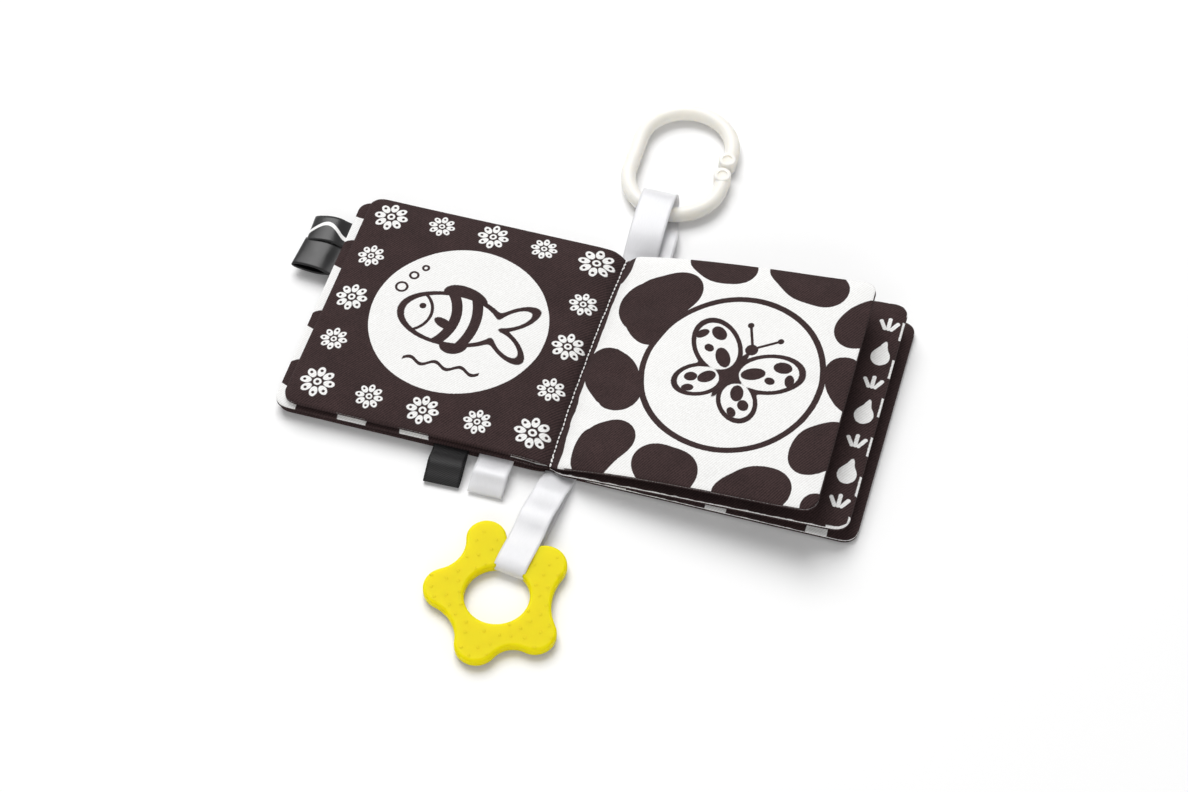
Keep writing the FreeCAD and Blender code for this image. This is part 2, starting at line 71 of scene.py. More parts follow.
# ------------------------------------------------------------------ camera
# Looks down on the open book from its tail side, turned a little towards the right-hand pages.
azimuth, elevation = math.radians(15.97), math.radians(54.42)
aim = Vector((7.07, -15.56, 0)) * mm
distance = 1.159
level = math.cos(elevation)
sight = Vector((-math.sin(azimuth) * level, math.cos(azimuth) * level, -math.sin(elevation)))
camera_data = bpy.data.cameras.new("camera")
camera_data.sensor_width = 36
camera_data.lens = 73.74
camera = bpy.data.objects.new("camera", camera_data)
camera.location = aim - sight * distance
camera.rotation_euler = sight.to_track_quat("-Z", "Y").to_euler()
bpy.context.collection.objects.link(camera)
bpy.context.scene.camera = camera

# ------------------------------------------------------------------ table and light
# A white table top in a white room. One very large soft lamp stands high behind the book and a
# little to its left, so that shadows fall short to the front right; a dim reflector in front and
# the room fill them.


def linear(code):
    """A colour given as an sRGB hex value, in linear light with full alpha."""
    parts = [int(code[i : i + 2], 16) / 255 for i in (1, 3, 5)]
    return [p / 12.92 if p <= 0.04045 else ((p + 0.055) / 1.055) ** 2.4 for p in parts] + [1]


def add(tree, kind, *inputs, **settings):
    """Adds one node. Inputs go to its open sockets in order: a value, another socket, or None."""
    node = tree.nodes.new(kind)
    for name, value in settings.items():
        setattr(node, name, value)
    for socket, value in zip([socket for socket in node.inputs if socket.enabled], inputs):
        if isinstance(value, bpy.types.NodeSocket):
            tree.links.new(value, socket)
        elif value is not None:
            socket.default_value = value
    return next(socket for socket in node.outputs if socket.enabled)


def new_material(name, **finish):
    """A node material, its tree and its surface shader. finish holds the shader's own values, by
    the names of its sockets with _ for each space."""
    material = bpy.data.materials.new(name)
    material.use_nodes = True
    shader = material.node_tree.nodes["Principled BSDF"]
    for socket, value in finish.items():
        shader.inputs[socket.replace("_", " ")].default_value = value
    return material, material.node_tree, shader


def looked_at(tree):
    """1 where a ray comes straight from the eye, or by way of a shine or through glass, else 0."""
    seen = tree.nodes.new("ShaderNodeLightPath").outputs
    shine, glass = seen["Is Glossy Ray"], seen["Is Transmission Ray"]
    bent = add(tree, "ShaderNodeMath", shine, glass, operation="ADD")
    return add(tree, "ShaderNodeMath", seen["Is Camera Ray"], bent, operation="ADD")


table_top = bpy.data.meshes.new("table_top")
reach, height = 4.0, -0.3 * mm
corners = ((-reach, -reach), (reach, -reach), (reach, reach), (-reach, reach))
table_top.from_pydata([(x, y, height) for x, y in corners], [], [(0, 1, 2, 3)])
table = bpy.data.objects.new("table_top", table_top)
bpy.context.collection.objects.link(table)
material, tree, shader = new_material(
    "white_table",
    Base_Color=linear("#F8F8F8"),
    Roughness=0.9,
    Specular_IOR_Level=0.1,
    Emission_Color=linear("#FFFFFF"),
)
# it is seen a little whiter than the light alone makes it
lift = add(tree, "ShaderNodeMath", looked_at(tree), 0.07, operation="MULTIPLY")
tree.links.new(lift, shader.inputs["Emission Strength"])
table_top.materials.append(material)

# the room is seen as white, and lights the object at a quarter of that
world = bpy.data.worlds.new("white_room")
world.use_nodes = True
tree = world.node_tree
room = tree.nodes["Background"].inputs
room["Color"].default_value = linear("#FFFFFF")
strength = add(tree, "ShaderNodeMath", looked_at(tree), 0.75, 0.25, operation="MULTIPLY_ADD")
tree.links.new(strength, room["Strength"])
bpy.context.scene.world = world


def soft_lamp(name, place, width, power):
    """A square area lamp at place, turned to the book; metres and watts."""
    data = bpy.data.lights.new(name, "AREA")
    data.size = width
    data.energy = power
    lamp = bpy.data.objects.new(name, data)
    lamp.location = place
    lamp.rotation_euler = (-Vector(place)).to_track_quat("-Z", "Y").to_euler()
    bpy.context.collection.objects.link(lamp)


soft_lamp("key_lamp", (-1.05, 1.7, 3.0), width=2.6, power=127.5)
soft_lamp("front_reflector", (0.5, -2.6, 0.9), width=2.0, power=24.0)
bpy.context.scene.view_settings.view_transform = "Standard"

# ------------------------------------------------------------------ printed cloth
# Every page is thin woven polyester, printed in one dark brown ink. The bare cloth is the white.
# The twill shows as fine slanting ribs, and the ink as a slightly uneven field.

ink = "#342626"
rib_spacing = 1.1
ink_edge = 0.12


def printed_cloth(name, draw):
    """A page's cloth. draw gives how far, in mm, a place lies outside the inked figures."""
    material, tree, shader = new_material(
        name,
        Roughness=0.85,
        Specular_IOR_Level=0.16,
        Sheen_Weight=0.04,
        Sheen_Roughness=0.5,
    )
    flat = add(tree, "ShaderNodeAttribute", attribute_name="cloth").node.outputs["Vector"]
    parts = add(tree, "ShaderNodeSeparateXYZ", flat).node.outputs
    # the ink creeps a little along the threads
    creep = add(tree, "ShaderNodeTexNoise", flat, 0.9, 2.0, 0.5)
    creep = add(tree, "ShaderNodeMath", creep, 0.3, -0.15, operation="MULTIPLY_ADD")
    place = add(tree, "ShaderNodeCombineXYZ", parts[0], parts[1], 0.0)
    outside = draw(tree, place, parts[2])
    outside = add(tree, "ShaderNodeMath", outside, creep, operation="ADD")
    cover = add(tree, "ShaderNodeMapRange", outside, -ink_edge, ink_edge, 0.0, 1.0)
    # twill ribs: 0.45 mm apart on the real cloth, drawn at 1.1 mm so that they show
    rib = add(tree, "ShaderNodeVectorMath", flat, (0.815, -0.579, 0.0), operation="DOT_PRODUCT")
    rib = add(tree, "ShaderNodeMath", rib, 2 * math.pi / rib_spacing, operation="MULTIPLY")
    rib = add(tree, "ShaderNodeMath", rib, operation="SINE")
    grain = add(tree, "ShaderNodeTexNoise", flat, 1.3, 3.0, 0.8)
    weave = add(tree, "ShaderNodeMath", rib, 0.17, grain, operation="MULTIPLY_ADD")
    # ink soaks in unevenly, in soft patches and thread by thread, with painted shade between the twill
    # ribs
    patches = add(tree, "ShaderNodeTexNoise", flat, 0.05, 3.0, 0.6)
    patches = add(tree, "ShaderNodeMapRange", patches, 0.3, 0.7, 0.86, 1.16)
    thread_tone_and_rib_shade = add(tree, "ShaderNodeMapRange", weave, 0.25, 0.75, 0.5, 1.6)
    uneven = add(tree, "ShaderNodeMath", patches, thread_tone_and_rib_shade, operation="MULTIPLY")
    inked = add(tree, "ShaderNodeVectorMath", linear(ink)[:3], uneven, operation="SCALE")
    # painted shade: the bare cloth is painted darker between the twill ribs than on them
    light = add(tree, "ShaderNodeMapRange", weave, 0.3, 0.7, 0.0, 1.0)
    bare = add(tree, "ShaderNodeMix", light, linear("#E8E7E5"), linear("#FBFBFA"), data_type="RGBA")
    colour = add(tree, "ShaderNodeMix", cover, inked, bare, data_type="RGBA")
    tree.links.new(colour, shader.inputs["Base Color"])
    bump = add(tree, "ShaderNodeBump", 0.6, 0.0001, None, weave)
    tree.links.new(bump, shader.inputs["Normal"])
    return material


def disc(tree, place, x, y, radius):
    """How far places lie outside a disc."""
    far = add(tree, "ShaderNodeVectorMath", place, (x, y, 0), operation="DISTANCE")
    return add(tree, "ShaderNodeMath", far, radius, operation="SUBTRACT")


def oval(tree, place, x, y, across, up, turn=0):
    """About how far places lie outside an oval with these half widths, turned by degrees."""
    moved = add(tree, "ShaderNodeVectorMath", place, (x, y, 0), operation="SUBTRACT")
    angle = math.radians(-turn)
    turned = add(tree, "ShaderNodeVectorRotate", moved, (0, 0, 0), angle, rotation_type="Z_AXIS")
    shrunk = add(tree, "ShaderNodeVectorMath", turned, (across, up, 1), operation="DIVIDE")
    size = add(tree, "ShaderNodeVectorMath", shrunk, operation="LENGTH")
    narrow = min(across, up)
    return add(tree, "ShaderNodeMath", size, narrow, -narrow, operation="MULTIPLY_ADD")


def stroke(tree, place, x0, y0, x1, y1, half):
    """How far places lie outside a straight stroke with round ends."""
    run = Vector((x1 - x0, y1 - y0, 0))
    moved = add(tree, "ShaderNodeVectorMath", place, (x0, y0, 0), operation="SUBTRACT")
    share = add(tree, "ShaderNodeVectorMath", moved, run / run.length_squared, operation="DOT_PRODUCT")
    share = add(tree, "ShaderNodeMath", share, 0.0, operation="ADD", use_clamp=True)
    nearest = add(tree, "ShaderNodeVectorMath", run, share, operation="SCALE")
    far = add(tree, "ShaderNodeVectorMath", moved, nearest, operation="DISTANCE")
    return add(tree, "ShaderNodeMath", far, half, operation="SUBTRACT")


def joined(tree, *shapes):
    """How far places lie outside all of the shapes."""
    whole = shapes[0]
    for shape in shapes[1:]:
        whole = add(tree, "ShaderNodeMath", whole, shape, operation="MINIMUM")
    return whole


def line_round(tree, shape, half):
    """How far places lie outside a line drawn round a shape's edge."""
    edge = add(tree, "ShaderNodeMath", shape, operation="ABSOLUTE")
    return add(tree, "ShaderNodeMath", edge, half, operation="SUBTRACT")


def within(tree, shape, other):
    """How far places lie outside what two shapes share."""
    return add(tree, "ShaderNodeMath", shape, other, operation="MAXIMUM")


def inverse(tree, shape):
    """The ground around a shape."""
    return add(tree, "ShaderNodeMath", shape, -1.0, operation="MULTIPLY")


def fish_page(tree, place, rise):
    """Left page: a line-drawn fish on a white disc, in a dark frame of flowers."""
    page = add(tree, "ShaderNodeVectorMath", place, (-64.0, 1.0, 0), operation="SUBTRACT")
    ground = disc(tree, page, 0, 0, 43.4)
    body = oval(tree, page, -4, 0, 25, 15)
    fins = joined(tree, oval(tree, page, 26, 8, 11, 5, 40), oval(tree, page, 26, -8, 11, 5, -40))
    body = add(tree, "ShaderNodeMath", body, fins, 4.0, operation="SMOOTH_MIN")
    bands = []
    for reach in (24, 34):
        bands.append(line_round(tree, disc(tree, page, -26, 0, reach), 2.6))
    bands.append(line_round(tree, disc(tree, page, -27, 0, 13), 0.8))
    inside = within(tree, joined(tree, *bands), body)
    back_fin = within(tree, oval(tree, page, -1, 14, 12, 6.5, -14), inverse(tree, body))
    belly_fin = within(tree, oval(tree, page, 2, -14, 7, 6, 20), inverse(tree, body))
    details = [line_round(tree, body, 1.1), inside, back_fin, belly_fin]
    details.append(disc(tree, page, -19.5, 4, 1.7))
    details.append(oval(tree, page, -6.5, -3.5, 5.5, 2.6, -22))
    for x, y, size in ((-33, 12, 2.7), (-29.5, 20.5, 2.0), (-25.5, 26.5, 1.4)):
        details.append(line_round(tree, disc(tree, page, x, y, size), 0.6))
    parts = add(tree, "ShaderNodeSeparateXYZ", page).node.outputs
    swell = add(tree, "ShaderNodeMath", parts[0], 0.5, operation="MULTIPLY")
    swell = add(tree, "ShaderNodeMath", swell, operation="SINE")
    swell = add(tree, "ShaderNodeMath", swell, 1.5, 28.0, operation="MULTIPLY_ADD")
    swell = add(tree, "ShaderNodeMath", swell, parts[1], operation="ADD")
    reach = add(tree, "ShaderNodeMath", parts[0], operation="ABSOLUTE")
    reach = add(tree, "ShaderNodeMath", reach, 19.0, operation="SUBTRACT")
    details.append(within(tree, line_round(tree, swell, 1.0), reach))
    figure = joined(tree, *details)
    # the frame's flowers stand in a ring: large in the corners, small between
    folded = add(tree, "ShaderNodeVectorMath", page, operation="ABSOLUTE")
    sides = add(tree, "ShaderNodeSeparateXYZ", folded).node.outputs
    long = add(tree, "ShaderNodeMath", sides[0], sides[1], operation="MAXIMUM")
    short = add(tree, "ShaderNodeMath", sides[0], sides[1], operation="MINIMUM")
    eighth = add(tree, "ShaderNodeCombineXYZ", long, short, 0.0)
    flowers = []
    for x, y, size in ((52.6, 52.6, 1.0), (54.5, 0, 0.92), (54, 26.5, 0.78)):
        flowers.append(flower(tree, eighth, x, y, size))
    flowers = inverse(tree, joined(tree, *flowers))
    frame = within(tree, inverse(tree, ground), flowers)
    return joined(tree, frame, figure)


def flower(tree, place, x, y, size):
    """How far places lie outside an eight-petalled flower with a ring for its eye."""
    moved = add(tree, "ShaderNodeVectorMath", place, (x, y, 0), operation="SUBTRACT")
    parts = add(tree, "ShaderNodeSeparateXYZ", moved).node.outputs
    angle = add(tree, "ShaderNodeMath", parts[1], parts[0], operation="ARCTAN2")
    petal = add(tree, "ShaderNodeMath", angle, math.pi / 8, operation="PINGPONG")
    far = add(tree, "ShaderNodeVectorMath", moved, operation="LENGTH")
    down = add(tree, "ShaderNodeMath", petal, operation="COSINE")
    side = add(tree, "ShaderNodeMath", petal, operation="SINE")
    down = add(tree, "ShaderNodeMath", down, far, operation="MULTIPLY")
    side = add(tree, "ShaderNodeMath", side, far, operation="MULTIPLY")
    sector = add(tree, "ShaderNodeCombineXYZ", down, side, 0.0)
    petals = oval(tree, sector, 5.8 * size, 0, 2.8 * size, 1.9 * size)
    dots = disc(tree, sector, 6.4 * size, 0, 0.75 * size)
    eye = disc(tree, sector, 0, 0, 2.0 * size)
    heart = disc(tree, sector, 0, 0, 0.9 * size)
    petals = within(tree, petals, inverse(tree, dots))
    return joined(tree, petals, within(tree, eye, inverse(tree, heart)))


def blotch(tree, place, *rounds):
    """How far places lie outside a soft blotch, melted together from a few discs."""
    discs = [disc(tree, place, *each) for each in rounds]
    whole = discs[0]
    for each in discs[1:]:
        whole = add(tree, "ShaderNodeMath", whole, each, 14.0, operation="SMOOTH_MIN")
    return whole


def butterfly_page(tree, place, rise):
    """Right page: large soft spots round a white disc with a ring and a spotted butterfly."""
    page = add(tree, "ShaderNodeVectorMath", place, (73.5, 0.0, 0), operation="SUBTRACT")
    spots = joined(
        tree,
        blotch(tree, page, (-50, 34, 15), (-38, 44, 10), (-44, 20, 9)),
        blotch(tree, page, (-22, 62, 9), (-12, 61, 7), (-32, 66, 6)),
        blotch(tree, page, (22, 60, 11), (34, 56, 9), (10, 66, 7)),
        blotch(tree, page, (56, 40, 9), (51, 34, 7), (60, 48, 5)),
        blotch(tree, page, (57, 4, 9), (52, 11, 7), (60, -4, 5)),
        blotch(tree, page, (50, -32, 10), (58, -26, 8), (46, -40, 6)),
        blotch(tree, page, (25, -60, 10), (34, -58, 8), (14, -65, 6)),
        blotch(tree, page, (-12, -58, 9), (-24, -56, 9), (-16, -68, 7)),
        blotch(tree, page, (-52, -50, 9.5), (-45, -45, 8), (-54, -61, 7)),
        blotch(tree, page, (-57, -10, 11), (-50, -20, 9), (-64, -2, 7)),
        blotch(tree, page, (57, -64, 7)),
    )
    spots = add(tree, "ShaderNodeMath", spots, 1.2, operation="SUBTRACT")
    ground = disc(tree, page, 0, 0, 43.5)
    spots = within(tree, spots, inverse(tree, ground))
    ring = line_round(tree, ground, 1.5)
    lean = math.radians(22)
    creature = add(tree, "ShaderNodeVectorRotate", page, (0, 0, 0), lean, rotation_type="Z_AXIS")
    sides = add(tree, "ShaderNodeSeparateXYZ", creature).node.outputs
    half = add(tree, "ShaderNodeMath", sides[0], operation="ABSOLUTE")
    half = add(tree, "ShaderNodeCombineXYZ", half, sides[1], 0.0)
    upper = oval(tree, half, 15.5, 9, 16, 10.5, 34)
    lower = oval(tree, half, 11.5, -11.5, 11.5, 8.5, -38)
    wings = add(tree, "ShaderNodeMath", upper, lower, 3.0, operation="SMOOTH_MIN")
    details = [line_round(tree, wings, 1.1)]
    marks = []
    for x, y, across, up, turn in (
        (9, 5, 6, 3.4, 38),
        (19, 15.5, 4.6, 3.2, 20),
        (26, 11, 2.3, 3.6, 30),
        (18, 6, 2.6, 2.0, 10),
        (9, -8, 3.2, 4.6, 35),
        (15.5, -12, 2.6, 3.2, 60),
        (13, -18, 3.0, 2.0, -30),
    ):
        marks.append(oval(tree, half, x, y, across, up, turn))
    details.append(within(tree, joined(tree, *marks), wings))
    details.append(oval(tree, half, 0, -1, 2.4, 15))
    details.append(disc(tree, half, 0, 16, 3.2))
    details.append(stroke(tree, half, 1.0, 18, 8.5, 27, 0.7))
    details.append(disc(tree, half, 9, 27.5, 1.6))
    figure = joined(tree, *details)
    # the left page's dark cloth runs on round the fold, to a slightly wavy edge that draws in
    # towards the head and ends there in a pointed tip
    parts = add(tree, "ShaderNodeSeparateXYZ", place).node.outputs
    wavy = add(tree, "ShaderNodeTexNoise", place, 0.07, 2.0, 0.5)
    wavy = add(tree, "ShaderNodeMath", wavy, 3.0, 2.0, operation="MULTIPLY_ADD")
    wavy = add(tree, "ShaderNodeMath", parts[1], -0.02, wavy, operation="MULTIPLY_ADD")
    strip = add(tree, "ShaderNodeMath", parts[0], wavy, operation="SUBTRACT")
    strip = joined(tree, strip, oval(tree, place, 3.5, 57, 2.6, 9.0, -6))
    # the dark cloth from underneath comes up round the seam
    past_fold = add(tree, "ShaderNodeMath", 8.0, parts[0], operation="SUBTRACT")
    edge = within(tree, low_rim(tree, rise, 0.7), past_fold)
    return joined(tree, spots, ring, figure, strip, edge)


def low_rim(tree, rise, height):
    """How far places lie outside the roll down to the seam, below a share of its full height."""
    rim = add(tree, "ShaderNodeMath", rise, operation="ABSOLUTE")
    rim = add(tree, "ShaderNodeMath", rim, height, operation="SUBTRACT")
    return add(tree, "ShaderNodeMath", rim, 4.0, operation="MULTIPLY")


def repeated(tree, place, x, y, across, up):
    """Places counted from the middle of cells that repeat, shifted by x and y. across and up are
    a cell's half width and half height."""
    moved = add(tree, "ShaderNodeVectorMath", place, (x, y, 0.0), operation="ADD")
    high, low = (across, up, 1), (-across, -up, 0)
    return add(tree, "ShaderNodeVectorMath", moved, high, low, operation="WRAP")


def drops_page(tree, place, rise):
    """Second spread: pale drops and tufts in staggered rows on the dark ground."""
    figures = []
    for x, y in ((21.0, 0.0), (5.5, 17.0)):
        cell = repeated(tree, place, x, y, 15.5, 17)
        low = disc(tree, cell, 0, -2, 4.4)
        tip = oval(tree, cell, 0.4, 3.0, 1.4, 4.2, -9)
        figures.append(add(tree, "ShaderNodeMath", low, tip, 6.0, operation="SMOOTH_MIN"))
    for x, y in ((21.0, 17.0), (5.5, 0.0)):
        cell = repeated(tree, place, x, y, 15.5, 17)
        for lean in (-4.0, 0.0, 4.0):
            figures.append(stroke(tree, cell, 0.4 * lean, -2.5, lean, 3.2 - 0.4 * abs(lean), 0.95))
    parts = add(tree, "ShaderNodeSeparateXYZ", place).node.outputs
    ends = add(tree, "ShaderNodeMath", parts[1], operation="ABSOLUTE")
    ends = add(tree, "ShaderNodeMath", ends, 59.5, operation="SUBTRACT")
    figures = within(tree, joined(tree, *figures), ends)
    figures = [within(tree, figures, inverse(tree, low_rim(tree, rise, 0.93)))]
    figures.append(seam_line(tree, place, rise, 0.74))
    # the stripes of the cloth underneath come up over the fore edge
    fore = add(tree, "ShaderNodeMath", 131.0, parts[0], operation="SUBTRACT")
    peeping = within(tree, low_rim(tree, rise, 0.92), fore)
    figures.append(within(tree, peeping, stripes(tree, place)))
    return inverse(tree, joined(tree, *figures))


def seam_line(tree, place, rise, height):
    """A thin, uneven line of the white cloth from underneath, along the head and tail seams."""
    uneven = add(tree, "ShaderNodeTexNoise", place, 0.25, 2.0, 0.5)
    uneven = add(tree, "ShaderNodeMath", uneven, 0.8 * height, 0.6 * height, operation="MULTIPLY_ADD")
    parts = add(tree, "ShaderNodeSeparateXYZ", place).node.outputs
    ends = add(tree, "ShaderNodeMath", parts[1], operation="ABSOLUTE")
    ends = add(tree, "ShaderNodeMath", 58.0, ends, operation="SUBTRACT")
    line = within(tree, low_rim(tree, rise, uneven), ends)
    return within(tree, line, inverse(tree, rise))


def stripes(tree, place):
    """How far places lie outside white stripes across the page."""
    stripe, apart, first = 10.7, 22.4, 4.2
    parts = add(tree, "ShaderNodeSeparateXYZ", place).node.outputs
    band = add(tree, "ShaderNodeMath", parts[1], -first, operation="ADD")
    band = add(tree, "ShaderNodeMath", band, apart / 2, operation="PINGPONG")
    return add(tree, "ShaderNodeMath", band, stripe / 2, operation="SUBTRACT")


def patches_page(tree, place, rise):
    """First spread: white cloth with large dark patches."""
    warp = add(tree, "ShaderNodeTexNoise", place, 0.05, 1.0, 0.5).node.outputs["Color"]
    warp = add(tree, "ShaderNodeVectorMath", warp, (0.5, 0.5, 0.5), operation="SUBTRACT")
    warp = add(tree, "ShaderNodeVectorMath", warp, (5, 5, 0), place, operation="MULTIPLY_ADD")
    spots = []
    for x, y, across, up, turn in (
        (-128, 63, 14, 10, 0),
        (-127, 29, 12, 10, 0),
        (-128, -12, 9, 6, 0),
        (-125, -46, 14, 10, 0),
        (-113, -66, 11, 12, 0),
        (-81, -66, 8.5, 13, 0),
        (-38, -62, 20, 16, 0),
        (-70, 20, 22, 26, 20),
        (-96, -20, 10, 20, 0),
        (-30, 40, 18, 20, 0),
    ):
        spots.append(oval(tree, warp, x, y, across, up, turn))
    # near the fold only a line of white shows along the seam
    parts = add(tree, "ShaderNodeSeparateXYZ", place).node.outputs
    inward = add(tree, "ShaderNodeMath", -30.0, parts[0], operation="SUBTRACT")
    line = inverse(tree, seam_line(tree, place, rise, 0.3))
    spots.append(within(tree, within(tree, inward, line), low_rim(tree, rise, 0.93)))
    # where this cloth lies underneath, its ink runs all round the seam
    spots.append(within(tree, low_rim(tree, rise, 0.8), rise))
    return joined(tree, *spots)


def stripes_page(tree, place, rise):
    """Third spread: even stripes across the page, inside a dark rim."""
    return joined(tree, inverse(tree, stripes(tree, place)), low_rim(tree, rise, 0.97))


def hills_page(tree, place, rise):
    """Third spread, right: pale tents in a row near the tail on the dark ground."""
    cell = repeated(tree, place, 15.5, 62.0, 23.75, 21)
    tents = oval(tree, cell, 0, -2, 5, 9)
    return inverse(tree, joined(tree, tents, seam_line(tree, place, rise, 0.66)))


def cover_page(tree, place, rise):
    """Outside of the covers: a big flower on each, on dark cloth with small dots around it."""
    folded = add(tree, "ShaderNodeVectorMath", place, operation="ABSOLUTE")
    moved = add(tree, "ShaderNodeVectorMath", folded, (76.0, 0.0, 0), operation="SUBTRACT")
    big = flower(tree, moved, 0, 0, 4.6)
    dots = disc(tree, repeated(tree, place, 0.0, 0.0, 8, 8), 0, 0, 1.4)
    dots = within(tree, dots, inverse(tree, disc(tree, moved, 0, 0, 48)))
    dots = within(tree, dots, inverse(tree, low_rim(tree, rise, 0.93)))
    return inverse(tree, joined(tree, big, dots))


# ------------------------------------------------------------------ the three folios
# Each folio is two printed cloth faces sewn round thin wadding and turned right side out: two
# padded leaves with a flat strip between them. The three lie in each other and are
# lockstitched through one fold line.

leaf_height = 130.0
corner_radius = 6.5
padding = 1.8

# The cloth's run from the seam over its rolled edge to the flat: in from the edge in mm, and up
# as a share of the padding.
roll = ((0.5, 0.0), (0.1, 0.3), (0.0, 0.55), (0.35, 0.8))
roll += ((1.1, 0.95), (2.4, 1.0), (4.2, 1.03), (6.8, 1.03))


def folio_grid(left, right):
    """Flat places of a folio's threads: across from the fold, along the spine, ring number."""
    edge = 9.5
    half = leaf_height / 2
    # close together at the fold, wider apart on the flat of the pages
    flat = [*np.arange(-left + edge, -14, 3.0), *np.arange(-14, 14.1, 1.4)]
    flat += [*np.arange(right - edge, 16, -3.0)][::-1]
    insets = np.array([inset for inset, _ in roll])
    across = np.concatenate([insets - left, flat, right - insets[::-1]])
    flat = np.linspace(-half + edge, half - edge, 38)
    along = np.concatenate([insets - half, flat, half - insets[::-1]])
    columns, rows = np.meshgrid(np.arange(len(across)), np.arange(len(along)), indexing="ij")
    ring = np.minimum.reduce([columns, len(across) - 1 - columns, rows, len(along) - 1 - rows])
    s, v = np.meshgrid(across, along, indexing="ij")
    inward = np.minimum(s + left, right - s)
    bend = np.clip(corner_radius - inward, 0, corner_radius)
    drop = corner_radius - np.sqrt(corner_radius**2 - bend**2)
    # the stitches pull the cloth in at the ends of the fold
    drop = drop + 1.3 * np.exp(-((s / 3.5) ** 2))
    return s, v * (1 - drop / half), ring


def wave(points, scale, seed):
    """Smooth noise from -1 to 1 at points in mm, with features about scale mm apart."""
    flat = points.reshape(-1, points.shape[-1])
    values = [noise.noise(Vector((p[0] / scale, p[1] / scale, seed))) for p in flat]
    return np.array(values).reshape(points.shape[:-1]) * 2


def pushed_out(s, faces, normal):
    """How far its wadding pushes a folio's two faces out, in mm, by cloth simulation.

    The cloth is held at the seam and down the fold, is a little larger than the seam that
    gathers it, and air presses it out. Puckers are kept whole, the broad swelling in part."""
    # the solver does without a few of the threads that lie close together at the rolled edge
    columns, rows = [
        [0, 3, 5, 6, *range(7, size - 7), size - 7, size - 6, size - 4, size - 1] for size in s.shape
    ]
    pick = np.ix_(columns, rows)
    upper = np.arange(len(columns) * len(rows)).reshape(len(columns), len(rows))
    seam = np.ones(upper.shape, bool)
    seam[1:-1, 1:-1] = False
    lower = np.where(seam, upper, upper + upper.size)
    quads = []
    for index, order in ((upper, 1), (lower, -1)):
        corners = np.stack([index[:-1, :-1], index[1:, :-1], index[1:, 1:], index[:-1, 1:]], -1)
        quads += corners.reshape(-1, 4)[:, ::order].tolist()
    start = np.concatenate([face[pick].reshape(-1, 3) for face in faces])
    # the solver is made for clothes, so the cloth is simulated at ten times its size
    enlarged = 10 * mm
    cage = bpy.data.meshes.new("cloth_cage")
    cage.from_pydata((start * enlarged).tolist(), [], quads)
    sack = bpy.data.objects.new("cloth_cage", cage)
    bpy.context.collection.objects.link(sack)
    still = (seam | (np.abs(s[pick]) < 5)).ravel()
    sack.vertex_groups.new(name="held").add(np.where(np.tile(still, 2))[0].tolist(), 1.0, "REPLACE")
    cloth = sack.modifiers.new("cloth", "CLOTH")
    cloth.settings.vertex_group_mass = "held"
    cloth.settings.use_pressure = True
    cloth.settings.uniform_pressure_force = 1.5
    cloth.settings.shrink_min = -0.014
    cloth.settings.quality = 4
    cloth.settings.bending_stiffness = 1.5
    cloth.settings.effector_weights.gravity = 0
    cloth.collision_settings.use_collision = False
    steps = 20
    cloth.point_cache.frame_end = steps
    for step in range(1, steps + 1):
        bpy.context.scene.frame_set(step)
    settled(sack)
    end = np.zeros(len(start) * 3, np.float32)
    sack.data.vertices.foreach_get("co", end)
    moved = end.reshape(-1, 3) / enlarged - start
    bpy.data.objects.remove(sack)
    bpy.context.scene.frame_set(1)
    pushed = []
    smoothing, pucker_cap, swell_cap = 14, 0.5, 0.7
    for side, part in ((1, moved[: upper.size]), (-1, moved[upper.size :])):
        out = (part.reshape(*upper.shape, 3) * normal[pick]).sum(-1) * side
        out[seam] = 0
        broad = out
        for _ in range(smoothing):
            for axis in (0, 1):
                framed = np.pad(broad, [(1, 1) if axis == a else (0, 0) for a in (0, 1)], "edge")
                before, after = np.delete(framed, (-1, -2), axis), np.delete(framed, (0, 1), axis)
                broad = (before + 2 * broad + after) / 4
        kept = pucker_cap * np.tanh((out - broad) / pucker_cap) + swell_cap * np.tanh(broad / 8)
        kept[seam] = 0
        full = np.stack([np.interp(np.arange(s.shape[0]), columns, line) for line in kept.T], 1)
        pushed.append(np.stack([np.interp(np.arange(s.shape[1]), rows, line) for line in full], 0))
    return pushed


